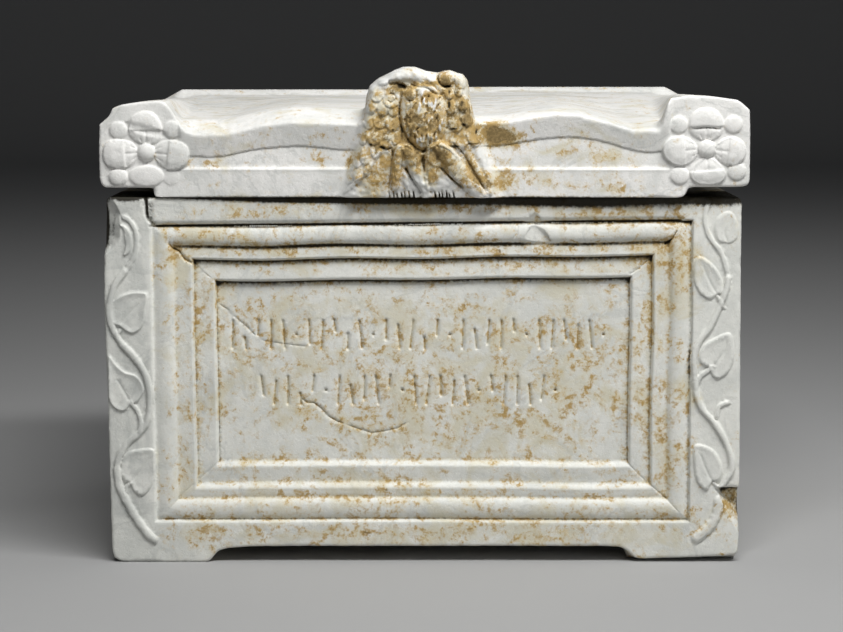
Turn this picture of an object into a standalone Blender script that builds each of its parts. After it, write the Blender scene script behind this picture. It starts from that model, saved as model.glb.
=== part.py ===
"""Cinerary urn of white marble: a hollow chest on four low feet, under a loose lid.

The chest's front has a moulded frame round a sunk panel, and a trailing vine on each side of it.
The lid has a waved front, a scrolled end block with a rosette at each side and a worn eagle in the
middle. Everything is in metres, with X to the right, Y to the back and Z up from the ground.
"""

import math

import bmesh
import bpy
from mathutils import Matrix

LEFT, RIGHT = 0, 1

# Chest
CHEST_WIDTH = 0.364
CHEST_DEPTH = 0.288
CHEST_HEIGHT = 0.2127
CHEST_EDGE_WEAR = 0.0018
SIDE_WALL = 0.040
FRONT_WALL = 0.040
FLOOR_THICKNESS = 0.034
CAVITY_CORNER_RADIUS = 0.016

# Feet under the chest's corners
FOOT_HEIGHT = 0.0095
FOOT_WIDTH = 0.059
FOOT_DEPTH = 0.062
FOOT_FILLET = 0.004

# Moulded frame on the chest's front, from its outer edge inwards
PILASTER_WIDTH = (0.0261, 0.0284)
FRAME_BOTTOM = 0.0244
FASCIA_HEIGHT = 0.0137
ROLL_WIDTH = 0.0135
ROLL_SINK = 0.0030
ROLL_SEGMENTS = 6
ROLL_FULLNESS = 0.9
FILLET_WIDTH = 0.0065
FILLET_SINK = 0.0032
BAND_WIDTH = 0.0150
BAND_SINK = 0.0055
STEP_SLOPE = 0.0010
PANEL_SINK = 0.0080

# Slot at the left end of the fascia over the frame
SLOT_WIDTH = 0.0022
SLOT_SINK = 0.0030

# Breaks in the chest's upper left and lower right edges. The middle of each lies this far past the chest's
# side and its front, at this share of its height, and it reaches this far sideways, back and up.
CHIP_PAST_SIDE = (0.0035, 0.0040)
CHIP_PAST_FRONT = (0.0045, 0.0060)
CHIP_HEIGHT = (0.94, 0.163)
CHIP_REACH = ((0.0105, 0.0100, 0.0300), (0.0160, 0.0105, 0.0150))
CHIP_TURN = (-7, 14)

# Two rows of plain chisel strokes on the panel. Each row has its start, its end and its height, as shares
# of the panel's width and height. Every few strokes a pit takes a stroke's place.
STROKE_ROWS = ((0.023, 0.967, 0.705), (0.094, 0.846, 0.387))
STROKE_HEIGHT = 0.0190
STROKE_PITCH = 0.0074
STROKE_WIDTH = 0.0017
STROKE_TILTS = (2, -6, 5, 1, -4, 7, -2, 4, -7)
STROKE_SHARES = (1.0, 0.72, 1.0, 0.46, 0.86, 1.0, 0.58)
STROKES_BETWEEN_PITS = 6
PIT_SHARE = 0.10
STROKE_FOOT = 0.35
STROKE_HEAD = 0.60
STROKE_RAISE = 0.12

# Vines on the two pilasters. A bend is a share of the pilaster's width, from the chest's edge inwards,
# and of the chest's height. A leaf has its notch, its tip and its width, all as such shares.
STEM_RADIUS = 0.0017
STEM_PROUD = 0.0006
STEPS_PER_BEND = 6
LEAF_PROUD = 0.0021
LEAF_POINTS = 16
LEAF_FACE = 0.78
LEAF_MIDDLE = 0.45
VINE_BENDS = (
    ((0.36, 0.955), (0.66, 0.896), (0.14, 0.700), (0.88, 0.464), (0.16, 0.257), (0.96, 0.055)),
    ((0.74, 0.985), (0.76, 0.925), (0.28, 0.766), (0.92, 0.560), (0.13, 0.287), (0.89, 0.065)),
)
VINE_LEAVES = (
    (
        ((0.48, 0.840), (0.36, 0.925), 0.30),
        ((0.38, 0.642), (0.88, 0.738), 0.74),
        ((0.51, 0.439), (0.15, 0.567), 0.70),
        ((0.44, 0.223), (0.92, 0.312), 0.78),
    ),
    (
        ((0.33, 0.877), (0.26, 0.961), 0.46),
        ((0.49, 0.737), (0.88, 0.840), 0.53),
        ((0.65, 0.530), (0.23, 0.632), 0.66),
        ((0.52, 0.225), (0.90, 0.321), 0.60),
    ),
)

# Lid. Its heights are measured from the underside of its slab.
SEAT_GAP = 0.0003
LID_SIDE_OVERHANG = 0.003
LID_FRONT_OVERHANG = 0.006
BLOCK_LIFT = 0.0055
SLAB_INSET = (0.031, 0.0375)
LID_FASCIA_HEIGHT = 0.0164
TYMPANUM_SINK = 0.0030
TYMPANUM_LOW = 0.0075
TYMPANUM_HIGH = (0.0133, 0.0165)
TYMPANUM_MIDDLE = 0.0110
LID_BAND_HEIGHT = 0.0136
CREST_SHARE = 0.42
VALLEY_SHARE = 0.65

# Roof, end blocks and rear rim of the lid
RIDGE_SETBACK = 0.028
RIDGE_RISE = (0.0072, 0.0022)
ROOF_REAR_HEIGHT = (0.0490, 0.0510)
BLOCK_WIDTH = 0.050
BLOCK_REAR_WIDTH = 0.030
BLOCK_SLOPE = 0.012
BLOCK_HEIGHT = (0.0550, 0.0570)
BLOCK_FALL = 0.0060
BLOCK_CHAMFER = (0.0125, 0.0080)
RIM_HEIGHT = 0.0558
RIM_DEPTH = 0.015
RIM_SLOPE = 0.004
ROOF_STATIONS = 34
TYMPANUM_STATIONS = 29
REAR_STATIONS = 7

# Rosettes on the end blocks, as shares of the rosette's radius
ROSETTE_MARGIN = 0.0004
ROSETTE_PROUD = 0.0034
PETAL_REACH = 0.63
PETAL_SIZE = (0.37, 0.40)
PETAL_SWELL = 1.25
BOSS_REACH = 0.80
BOSS_SIZE = 0.19
BOSS_SWELL = 0.95
KNOB_SIZE = 0.21
KNOB_SWELL = 1.6

# Eagle in the middle of the lid's front. Its outline and forms are shares of its half width and its height.
EAGLE_WIDTH = 0.087
EAGLE_HEIGHT = 0.0750
EAGLE_PROUD = 0.012
EAGLE_SETBACK = 0.032
EAGLE_LIFT = 0.0008
EAGLE_TOP_WIDTH = 0.72
EAGLE_OUTLINE = ((0.0, 1.0), (0.30, 0.985), (0.55, 0.965), (0.80, 0.93), (1.0, 0.82))
EAGLE_CROWN_FALL = 0.27
EAGLE_BACK_WIDTH = 0.80
EAGLE_FOOT_SWELL = 0.22
EAGLE_CHEST_SWELL = 0.55
EAGLE_SWELL_END = 0.625
EAGLE_SIDE_FALL = 0.4
EAGLE_TAPER_RATE = 1.3
EAGLE_COLUMNS = 28
EAGLE_ROWS = 34
WING_START = 0.36
WING_FOOT = 0.10
WING_SIDE_SLOPE = 0.08
WING_FOOT_SLOPE = 0.06
FEATHER_LENGTH = 0.0078
FEATHER_WIDTH = 0.0095
FEATHER_PROUD = 0.0022
FEATHER_END_CURVE = 1.8
FEATHER_GAP = 0.25
FEATHER_THINNING = 0.6
FEATHER_ROUNDING = 2

# Each form has its middle, its half width and half height, how proud it stands, its turn, and whether
# it is on both sides: breast, head, wing tip, thigh, shin and three toes.
EAGLE_FORMS = (
    (((0.0, 0.56), (0.33, 0.22), 0.55, 0), False),
    (((-0.24, 0.93), (0.34, 0.085), 0.34, -12), False),
    (((0.44, 0.92), (0.18, 0.075), 0.30, 10), False),
    (((0.26, 0.29), (0.13, 0.16), 0.42, -20), True),
    (((0.23, 0.13), (0.07, 0.11), 0.34, 0), True),
    (((0.12, 0.045), (0.06, 0.050), 0.38, 12), True),
    (((0.24, 0.040), (0.06, 0.050), 0.42, 0), True),
    (((0.36, 0.045), (0.06, 0.050), 0.38, -12), True),
)

HALF_DEPTH = CHEST_DEPTH / 2
BODY_Y = EAGLE_PROUD / 2
CHEST_FRONT = BODY_Y - HALF_DEPTH
LID_FRONT = CHEST_FRONT - LID_FRONT_OVERHANG
LID_REAR = BODY_Y + HALF_DEPTH + LID_FRONT_OVERHANG
LID_HALF_WIDTH = CHEST_WIDTH / 2 + LID_SIDE_OVERHANG
LID_BOTTOM = CHEST_HEIGHT + SEAT_GAP
CUTTER_MARGIN = 0.010
JOIN_DEPTH = 0.003
ROUND_PROFILE = 0.5


def smooth(part):
    """A soft step from 0 to 1 while part runs from 0 to 1."""
    return (1 - math.cos(math.pi * min(max(part, 0.0), 1.0))) / 2


def mix(low, high, part):
    return low + (high - low) * part


def stations(points, x):
    """The value at x of straight runs between (x, value) points."""
    for (x0, value0), (x1, value1) in zip(points, points[1:]):
        if x <= x1:
            return mix(value0, value1, max(x - x0, 0.0) / (x1 - x0))
    return points[-1][1]


def by_side(pair, x):
    """The left or the right value of a pair, which change over softly behind the eagle."""
    return mix(pair[LEFT], pair[RIGHT], smooth(0.5 + x / EAGLE_WIDTH))


def clear_scene():
    for obj in list(bpy.data.objects):
        bpy.data.objects.remove(obj, do_unlink=True)


def new_collection(name):
    collection = bpy.data.collections.new(name)
    bpy.context.scene.collection.children.link(collection)
    return collection


def new_object(name, bm, collection):
    """Makes a closed bmesh into an object of this collection."""
    bmesh.ops.recalc_face_normals(bm, faces=bm.faces)
    mesh = bpy.data.meshes.new(name)
    bm.to_mesh(mesh)
    bm.free()
    obj = bpy.data.objects.new(name, mesh)
    collection.objects.link(obj)
    return obj


def as_helper(obj):
    """A shape that is only cut away from a piece, or joined to it."""
    obj.hide_render = True
    obj.display_type = "WIRE"
    return obj


def marble(name, colour, roughness):
    material = bpy.data.materials.new(name)
    material.use_nodes = True
    shader = material.node_tree.nodes["Principled BSDF"]
    shader.inputs["Base Color"].default_value = (*colour, 1.0)
    shader.inputs["Roughness"].default_value = roughness
    shader.inputs["Metallic"].default_value = 0.0
    return material


def add_boolean(obj, operation, collection):
    modifier = obj.modifiers.new(collection.name, "BOOLEAN")
    modifier.operation = operation
    modifier.solver = "EXACT"
    modifier.operand_type = "COLLECTION"
    modifier.collection = collection


def add_box(name, low, high, collection, fillet=0.0, fillet_segments=3, bottom_fillet=False):
    """A box from one corner to the other. Its upright edges, and its top or bottom edges, can be rounded."""
    size = [b - a for a, b in zip(low, high)]
    bm = bmesh.new()
    bmesh.ops.create_cube(bm, size=1.0, matrix=Matrix.Diagonal((*size, 1.0)))
    if fillet:
        level = -size[2] / 2 if bottom_fillet else size[2] / 2
        near = [
            edge
            for edge in bm.edges
            if abs(edge.verts[0].co.z - edge.verts[1].co.z) > size[2] / 2
            or all(abs(vertex.co.z - level) < size[2] / 4 for vertex in edge.verts)
        ]
        bmesh.ops.bevel(
            bm, geom=near, offset=fillet, offset_type="OFFSET", segments=fillet_segments,
            profile=ROUND_PROFILE, affect="EDGES",
        )
    obj = new_object(name, bm, collection)
    obj.location = [mix(a, b, 0.5) for a, b in zip(low, high)]
    return as_helper(obj)


def add_blob(name, place, radii, collection, turn=0.0, sides=10, rings=6):
    """An egg shape with its pole towards the front, turned clockwise in the view from the front."""
    bm = bmesh.new()
    bmesh.ops.create_uvsphere(bm, u_segments=sides, v_segments=rings, radius=1.0)
    bmesh.ops.rotate(bm, verts=bm.verts, matrix=Matrix.Rotation(math.radians(90), 3, "X"))
    bmesh.ops.scale(bm, verts=bm.verts, vec=radii)
    obj = new_object(name, bm, collection)
    obj.location = place
    obj.rotation_euler = (0.0, math.radians(turn), 0.0)
    return as_helper(obj)


def frame_box(inset):
    """Left, right, bottom and top of the frame on the chest's front, this far inside its outer edge."""
    half = CHEST_WIDTH / 2
    return (
        PILASTER_WIDTH[LEFT] + inset - half,
        half - PILASTER_WIDTH[RIGHT] - inset,
        FRAME_BOTTOM + inset,
        CHEST_HEIGHT - FASCIA_HEIGHT - inset,
    )


def frame_profile():
    """The frame's section, as (distance in from the outer edge, depth below the chest's front)."""
    profile = [(0.0, 0.0), (STEP_SLOPE, ROLL_SINK)]
    for step in range(ROLL_SEGMENTS + 1):
        turn = math.pi * step / ROLL_SEGMENTS
        profile.append((
            2 * STEP_SLOPE + (ROLL_WIDTH - 2 * STEP_SLOPE) * (1 - math.cos(turn)) / 2,
            ROLL_SINK * (1 - ROLL_FULLNESS * math.sin(turn)),
        ))
    band_start = ROLL_WIDTH + FILLET_WIDTH
    profile.append((band_start, FILLET_SINK))
    profile.append((band_start + STEP_SLOPE, BAND_SINK))
    profile.append((band_start + BAND_WIDTH, BAND_SINK))
    profile.append((band_start + BAND_WIDTH + STEP_SLOPE, PANEL_SINK))
    return profile


def carve_frame(bm):
    """Sinks nested rectangles into the front, so that their sides meet in mitres."""
    front = min(bm.faces, key=lambda face: (round(face.calc_center_median().y, 4), -face.calc_area()))
    for inset, sink in frame_profile():
        left, right, bottom, top = frame_box(inset)
        bmesh.ops.inset_individual(bm, faces=[front], thickness=STEP_SLOPE / 4)
        centre = front.calc_center_median()
        for vertex in front.verts:
            vertex.co.x = left if vertex.co.x < centre.x else right
            vertex.co.z = bottom if vertex.co.z < centre.z else top
            vertex.co.y = CHEST_FRONT + sink


def make_chest(collection):
    size = (CHEST_WIDTH, CHEST_DEPTH, CHEST_HEIGHT, 1.0)
    bm = bmesh.new()
    bmesh.ops.create_cube(bm, size=1.0, matrix=Matrix.Diagonal(size))
    bmesh.ops.bevel(
        bm, geom=bm.edges[:], offset=CHEST_EDGE_WEAR, offset_type="OFFSET", segments=1,
        profile=ROUND_PROFILE, affect="EDGES",
    )
    bmesh.ops.translate(bm, verts=bm.verts, vec=(0.0, BODY_Y, CHEST_HEIGHT / 2))
    carve_frame(bm)
    return new_object("chest", bm, collection)


def add_cavity(collection):
    inner_x = CHEST_WIDTH / 2 - SIDE_WALL
    inner_y = HALF_DEPTH - FRONT_WALL
    add_box(
        "cavity",
        (-inner_x, BODY_Y - inner_y, FOOT_HEIGHT + FLOOR_THICKNESS),
        (inner_x, BODY_Y + inner_y, CHEST_HEIGHT + CUTTER_MARGIN),
        collection, fillet=CAVITY_CORNER_RADIUS, bottom_fillet=True,
    )


def add_foot_gaps(collection):
    """Two crossing channels under the chest, which leave a foot at each corner."""
    half_x = CHEST_WIDTH / 2
    across = half_x - FOOT_WIDTH
    along = HALF_DEPTH - FOOT_DEPTH
    past_x = half_x + CUTTER_MARGIN
    past_y = HALF_DEPTH + CUTTER_MARGIN
    add_box(
        "gap_between_front_feet", (-across, BODY_Y - past_y, -CUTTER_MARGIN),
        (across, BODY_Y + past_y, FOOT_HEIGHT), collection, fillet=FOOT_FILLET,
    )
    add_box(
        "gap_between_side_feet", (-past_x, BODY_Y - along, -CUTTER_MARGIN),
        (past_x, BODY_Y + along, FOOT_HEIGHT), collection, fillet=FOOT_FILLET,
    )


def add_slot(collection):
    left, _, _, top = frame_box(0.0)
    add_box(
        "fascia_slot", (left - SLOT_WIDTH, CHEST_FRONT - CUTTER_MARGIN, top - SLOT_WIDTH / 2),
        (left, CHEST_FRONT + SLOT_SINK, CHEST_HEIGHT + CUTTER_MARGIN), collection,
    )


def add_stroke(name, place, length, tilt, collection):
    """A tapered chisel stroke: a four-sided spike with one edge down in the stone."""
    bm = bmesh.new()
    bmesh.ops.create_cone(
        bm, cap_ends=True, segments=4, radius1=STROKE_WIDTH * STROKE_FOOT,
        radius2=STROKE_WIDTH * STROKE_HEAD, depth=length,
    )
    obj = new_object(name, bm, collection)
    obj.location = place
    obj.rotation_euler = (0.0, math.radians(tilt), 0.0)
    return as_helper(obj)


def add_stroke_rows(collection):
    """Rows of upright and slanting strokes in the inscription's place, none of which meet."""
    inset, sink = frame_profile()[-1]
    left, right, bottom, top = frame_box(inset)
    depth = CHEST_FRONT + sink - STROKE_WIDTH * STROKE_RAISE
    for row, (start, end, height) in enumerate(STROKE_ROWS):
        first = mix(left, right, start)
        count = int((mix(left, right, end) - first) / STROKE_PITCH)
        for index in range(count):
            is_pit = index % STROKES_BETWEEN_PITS == STROKES_BETWEEN_PITS - 1
            share = PIT_SHARE if is_pit else STROKE_SHARES[(index * 3 + row) % len(STROKE_SHARES)]
            length = STROKE_HEIGHT * share
            lift = 0.0 if is_pit else (STROKE_HEIGHT - length) / 2 * (-1) ** index
            place = (first + (index + 0.5) * STROKE_PITCH, depth, mix(bottom, top, height) + lift)
            tilt = STROKE_TILTS[(index + row) % len(STROKE_TILTS)]
            add_stroke(f"stroke_{row}_{index:02d}", place, length, tilt, collection)


def pilaster_point(side, point):
    """A pilaster's (share of its width from the chest's edge, share of its height) as x and z."""
    across, up = point
    inwards = PILASTER_WIDTH[side] * across - CHEST_WIDTH / 2
    return (inwards if side == LEFT else -inwards), CHEST_HEIGHT * up


def add_stem(side, collection):
    """A vine's stem, which swings from bend to bend on a soft wave."""
    bends = [pilaster_point(side, bend) for bend in VINE_BENDS[side]]
    points = []
    for (x0, z0), (x1, z1) in zip(bends, bends[1:]):
        for step in range(STEPS_PER_BEND):
            part = step / STEPS_PER_BEND
            points.append((mix(x0, x1, smooth(part)), mix(z0, z1, part)))
    points.append(bends[-1])
    curve = bpy.data.curves.new(f"stem_{side}", "CURVE")
    curve.dimensions = "3D"
    curve.bevel_depth = STEM_RADIUS
    curve.bevel_resolution = 1
    curve.use_fill_caps = True
    spline = curve.splines.new("POLY")
    spline.points.add(len(points) - 1)
    for vertex, (x, z) in zip(spline.points, points):
        vertex.co = (x, 0.0, z, 1.0)
    guide = bpy.data.objects.new(curve.name, curve)
    guide.location.y = CHEST_FRONT - STEM_PROUD
    collection.objects.link(guide)
    bpy.context.view_layer.update()
    return curve_to_mesh(guide, collection)


def curve_to_mesh(guide, collection):
    """The mesh of a bevelled curve with its caps welded on. The curve is removed."""
    graph = bpy.context.evaluated_depsgraph_get()
    mesh = bpy.data.meshes.new_from_object(guide.evaluated_get(graph))
    bm = bmesh.new()
    bm.from_mesh(mesh)
    bmesh.ops.remove_doubles(bm, verts=bm.verts, dist=0.00001)
    obj = new_object(guide.name + "_mesh", bm, collection)
    obj.matrix_world = guide.matrix_world
    bpy.data.objects.remove(guide, do_unlink=True)
    bpy.data.meshes.remove(mesh)
    return as_helper(obj)


def heart(turn):
    """A point of a heart-shaped leaf's outline, with its notch near (0, 0), its tip at (0, 1) and width 1."""
    across = 0.5 * math.sin(turn) ** 3
    along = (5 - 13 * math.cos(turn) + 5 * math.cos(2 * turn) + 2 * math.cos(3 * turn) + math.cos(4 * turn)) / 22
    return across, along


def add_leaf(name, side, leaf, collection):
    """A leaf that narrows from its root in the stone to its raised face."""
    notch, tip, width_share = leaf
    x0, z0 = pilaster_point(side, notch)
    x1, z1 = pilaster_point(side, tip)
    length = math.hypot(x1 - x0, z1 - z0)
    width = PILASTER_WIDTH[side] * width_share
    bm = bmesh.new()
    bmesh.ops.create_cone(bm, cap_ends=True, segments=LEAF_POINTS, radius1=1.0, radius2=LEAF_FACE, depth=1.0)
    for vertex in bm.verts:
        radius = math.hypot(vertex.co.x, vertex.co.y)
        across, along = heart(math.atan2(vertex.co.x, -vertex.co.y))
        raised = vertex.co.z > 0
        vertex.co = (
            across * radius * width,
            -LEAF_PROUD if raised else JOIN_DEPTH,
            mix(LEAF_MIDDLE, along, radius) * length,
        )
    obj = new_object(name, bm, collection)
    obj.location = (x0, CHEST_FRONT, z0)
    obj.rotation_euler = (0.0, math.atan2(x1 - x0, z1 - z0), 0.0)
    return as_helper(obj)


def add_vine(side, collection):
    add_stem(side, collection)
    for index, leaf in enumerate(VINE_LEAVES[side]):
        add_leaf(f"leaf_{side}_{index}", side, leaf, collection)


def add_chips(collection):
    """The broken upper left edge and lower right edge of the chest."""
    for side, sign, name in ((LEFT, -1, "chip_upper_left"), (RIGHT, 1, "chip_lower_right")):
        x = sign * (CHEST_WIDTH / 2 + CHIP_PAST_SIDE[side])
        place = (x, CHEST_FRONT - CHIP_PAST_FRONT[side], CHEST_HEIGHT * CHIP_HEIGHT[side])
        add_blob(name, place, CHIP_REACH[side], collection, turn=CHIP_TURN[side], sides=9, rings=7)


def front_height(x):
    """Height of the waved upper edge of the lid's front over its slab's underside."""
    return LID_FASCIA_HEIGHT + tympanum_height(x) + LID_BAND_HEIGHT


def tympanum_height(x):
    """Height of the sunk field over the lid's fascia: level behind the eagle, then a crest and a valley."""
    crest = by_side(TYMPANUM_HIGH, x)
    share = abs(x) / LID_HALF_WIDTH
    if share < CREST_SHARE:
        return mix(TYMPANUM_MIDDLE, crest, smooth(share / CREST_SHARE))
    past_crest = (share - CREST_SHARE) / (VALLEY_SHARE - CREST_SHARE)
    return mix(crest, TYMPANUM_LOW, smooth(past_crest))


def roof_height(x, back):
    """The roof's height at x, this far behind the lid's front: up to a ridge, then on to the rear."""
    edge = front_height(x)
    ridge = edge + by_side(RIDGE_RISE, x)
    if back < RIDGE_SETBACK:
        return mix(edge, ridge, math.sin(math.pi / 2 * back / RIDGE_SETBACK))
    to_rear = (back - RIDGE_SETBACK) / (LID_REAR - LID_FRONT - RIM_DEPTH - RIDGE_SETBACK)
    return mix(ridge, by_side(ROOF_REAR_HEIGHT, x), smooth(to_rear))


def lid_height(x, back):
    """The lid's upper surface: roof, end blocks with a chamfered outer edge, and the rim along the rear."""
    depth = LID_REAR - LID_FRONT
    from_end = LID_HALF_WIDTH - abs(x)
    block_width = mix(BLOCK_WIDTH, BLOCK_REAR_WIDTH, back / depth)
    block_top = by_side(BLOCK_HEIGHT, x) - BLOCK_FALL * back / depth
    onto_block = smooth((block_width - from_end) / BLOCK_SLOPE)
    height = mix(roof_height(x, back), block_top, onto_block)
    onto_rim = min(max((back - depth + RIM_DEPTH) / RIM_SLOPE, 0.0), 1.0)
    height = mix(height, RIM_HEIGHT, onto_rim)
    chamfer = max(by_side(BLOCK_CHAMFER, x) - from_end, 0.0)
    return height - chamfer


def lid_columns():
    """The x places of the lid's grid, closer together on the end blocks."""
    columns = set()
    for side, sign in ((LEFT, -1), (RIGHT, 1)):
        chamfer = BLOCK_CHAMFER[side]
        slopes = (BLOCK_WIDTH, BLOCK_WIDTH - BLOCK_SLOPE / 2, BLOCK_WIDTH - BLOCK_SLOPE)
        rear_slopes = (BLOCK_REAR_WIDTH, BLOCK_REAR_WIDTH - BLOCK_SLOPE / 2)
        for from_end in (0.0, chamfer / 2, chamfer, *rear_slopes, *slopes):
            columns.add(round(sign * (LID_HALF_WIDTH - from_end), 6))
    inner = LID_HALF_WIDTH - BLOCK_WIDTH
    for index in range(1, ROOF_STATIONS):
        columns.add(round(mix(-inner, inner, index / ROOF_STATIONS), 6))
    return sorted(columns)


def lid_rows():
    """The distances behind the lid's front of its grid, closer together at the ridge and the rim."""
    depth = LID_REAR - LID_FRONT
    rim = depth - RIM_DEPTH
    rows = [RIDGE_SETBACK * share for share in (0.0, 0.25, 0.5, 1.0)]
    rows += [mix(RIDGE_SETBACK, rim, index / REAR_STATIONS) for index in range(1, REAR_STATIONS + 1)]
    return rows + [rim + RIM_SLOPE, depth]


def shape_grid(bm, columns, rows, place):
    """A flat grid whose point in each column and row is moved to place(column, row)."""
    made = bmesh.ops.create_grid(bm, x_segments=len(columns) - 1, y_segments=len(rows) - 1, size=1.0)
    for vertex in made["verts"]:
        column = columns[round((vertex.co.x + 1) / 2 * (len(columns) - 1))]
        row = rows[round((vertex.co.y + 1) / 2 * (len(rows) - 1))]
        vertex.co = place(column, row)


def draw_back(bm, place):
    """Closes an open surface: its edge is drawn out to place(x, y, z), which lies in one plane, and filled."""
    rim = [edge for edge in bm.edges if edge.is_boundary]
    drawn = bmesh.ops.extrude_edge_only(bm, edges=rim)["geom"]
    for vertex in (item for item in drawn if isinstance(item, bmesh.types.BMVert)):
        vertex.co = place(*vertex.co)
    bmesh.ops.holes_fill(bm, edges=[edge for edge in bm.edges if edge.is_boundary], sides=0)
    bmesh.ops.triangulate(bm, faces=bm.faces)


def make_lid(collection):
    """The lid's block: its upper surface, with sides drawn down from its edge to a flat underside."""
    bm = bmesh.new()
    shape_grid(
        bm, lid_columns(), lid_rows(),
        lambda x, back: (x, LID_FRONT + back, LID_BOTTOM + lid_height(x, back)),
    )
    draw_back(bm, lambda x, y, z: (x, y, LID_BOTTOM))
    return new_object("lid", bm, collection)


def add_tympanum(collection):
    """The sunk field between the lid's fascia and its waved band."""
    inner = LID_HALF_WIDTH - BLOCK_WIDTH
    columns = [mix(-inner, inner, index / TYMPANUM_STATIONS) for index in range(TYMPANUM_STATIONS + 1)]
    low = LID_BOTTOM + LID_FASCIA_HEIGHT
    front = LID_FRONT - CUTTER_MARGIN
    bm = bmesh.new()
    shape_grid(bm, columns, (0.0, 1.0), lambda x, up: (x, front, low + up * tympanum_height(x)))
    pushed = bmesh.ops.extrude_face_region(bm, geom=bm.faces[:])["geom"]
    moved = [item for item in pushed if isinstance(item, bmesh.types.BMVert)]
    bmesh.ops.translate(bm, verts=moved, vec=(0.0, CUTTER_MARGIN + TYMPANUM_SINK, 0.0))
    return as_helper(new_object("tympanum", bm, collection))


def add_block_gaps(collection):
    """The step under each end block, which stands clear of the chest beside the slab."""
    for side, sign in ((LEFT, -1), (RIGHT, 1)):
        ends = sorted((sign * (LID_HALF_WIDTH - SLAB_INSET[side]), sign * (LID_HALF_WIDTH + CUTTER_MARGIN)))
        add_box(
            f"block_gap_{side}", (ends[0], LID_FRONT - CUTTER_MARGIN, LID_BOTTOM - CUTTER_MARGIN),
            (ends[1], LID_REAR + CUTTER_MARGIN, LID_BOTTOM + BLOCK_LIFT), collection,
        )


def add_rosette(side, collection):
    """A rosette of four petals and a knob, with a small boss between each pair of petals."""
    sign = -1 if side == LEFT else 1
    block_height = BLOCK_HEIGHT[side] - BLOCK_LIFT
    radius = min(BLOCK_WIDTH, block_height) / 2 - ROSETTE_MARGIN
    centre_x = sign * (LID_HALF_WIDTH - BLOCK_WIDTH / 2)
    centre_z = LID_BOTTOM + BLOCK_LIFT + block_height / 2
    sunk = LID_FRONT + ROSETTE_PROUD / 4
    for index in range(4):
        turn = index * math.pi / 2
        along, across = radius * PETAL_SIZE[0], radius * PETAL_SIZE[1]
        add_blob(
            f"petal_{side}_{index}",
            (centre_x + radius * PETAL_REACH * math.sin(turn), sunk, centre_z + radius * PETAL_REACH * math.cos(turn)),
            (across, ROSETTE_PROUD * PETAL_SWELL, along), collection, turn=math.degrees(turn), sides=12, rings=6,
        )
        between = turn + math.pi / 4
        boss = radius * BOSS_SIZE
        add_blob(
            f"boss_{side}_{index}",
            (centre_x + radius * BOSS_REACH * math.sin(between), sunk, centre_z + radius * BOSS_REACH * math.cos(between)),
            (boss, ROSETTE_PROUD * BOSS_SWELL, boss), collection, sides=8, rings=6,
        )
    knob = radius * KNOB_SIZE
    add_blob(f"knob_{side}", (centre_x, sunk, centre_z), (knob, ROSETTE_PROUD * KNOB_SWELL, knob), collection)


def eagle_form(form, across, up):
    """How far one rounded form stands out at this place, both in metres from the middle of the eagle's foot."""
    (middle, height), (half_width, half_height), proud, turn = form
    right = across - middle * EAGLE_WIDTH / 2
    above = up - height * EAGLE_HEIGHT
    cosine, sine = math.cos(math.radians(turn)), math.sin(math.radians(turn))
    along = (right * sine + above * cosine) / (half_height * EAGLE_HEIGHT)
    aside = (right * cosine - above * sine) / (half_width * EAGLE_WIDTH / 2)
    return proud * EAGLE_PROUD * math.sqrt(max(1 - along ** 2 - aside ** 2, 0.0))


def mirrored(form):
    (middle, height), size, proud, turn = form
    return (-middle, height), size, proud, -turn


def feather_relief(across, up):
    """Rows of overlapping scales, each of which is thickest at its rounded lower end."""
    row = up / FEATHER_LENGTH
    shift = 0.5 * (math.floor(row) % 2)
    side = (across / FEATHER_WIDTH + shift) % 1.0 - 0.5
    along = row % 1.0
    rounded = 1.0 if along > FEATHER_END_CURVE * side ** 2 else FEATHER_GAP
    return FEATHER_PROUD * rounded * (1 - FEATHER_THINNING * along) * (1 - FEATHER_ROUNDING * side ** 2)


def eagle_relief(across, up):
    """How far the eagle stands out of the lid's front, both in metres from the middle of its foot."""
    share = up / EAGLE_HEIGHT
    aside = min(abs(across) / (EAGLE_WIDTH / 2), 1.0)
    swell = mix(EAGLE_FOOT_SWELL, EAGLE_CHEST_SWELL, smooth(share / EAGLE_SWELL_END))
    stone = EAGLE_PROUD * swell * (1 - EAGLE_SIDE_FALL * aside ** 2)
    over_foot = smooth((share - WING_FOOT) / WING_FOOT_SLOPE)
    on_wing = smooth((aside - WING_START) / WING_SIDE_SLOPE) * over_foot
    forms = max(
        max(eagle_form(form, across, up), eagle_form(mirrored(form), across, up) if paired else 0.0)
        for form, paired in EAGLE_FORMS
    )
    return min(stone + max(on_wing * feather_relief(across, up), forms), EAGLE_PROUD)


def add_eagle(collection):
    """A worn eagle seen from the front: egg-shaped breast, folded wings, spread thighs and talons."""

    def place(across, up):
        crown = stations(EAGLE_OUTLINE, abs(across))
        taper = mix(1.0, EAGLE_TOP_WIDTH, smooth(up * EAGLE_TAPER_RATE))
        x = across * EAGLE_WIDTH / 2 * taper
        height = mix(EAGLE_LIFT, EAGLE_HEIGHT * mix(1.0, crown, up), up)
        return x, LID_FRONT - eagle_relief(x, height), LID_BOTTOM + height

    columns = [mix(-1.0, 1.0, index / EAGLE_COLUMNS) for index in range(EAGLE_COLUMNS + 1)]
    rows = [index / EAGLE_ROWS for index in range(EAGLE_ROWS + 1)]
    bm = bmesh.new()
    shape_grid(bm, columns, rows, place)
    foot = LID_BOTTOM + EAGLE_LIFT
    back = LID_FRONT + EAGLE_SETBACK
    draw_back(bm, lambda x, y, z: (x * EAGLE_BACK_WIDTH, back, mix(z, foot, EAGLE_CROWN_FALL)))
    return as_helper(new_object("eagle", bm, collection))


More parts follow.
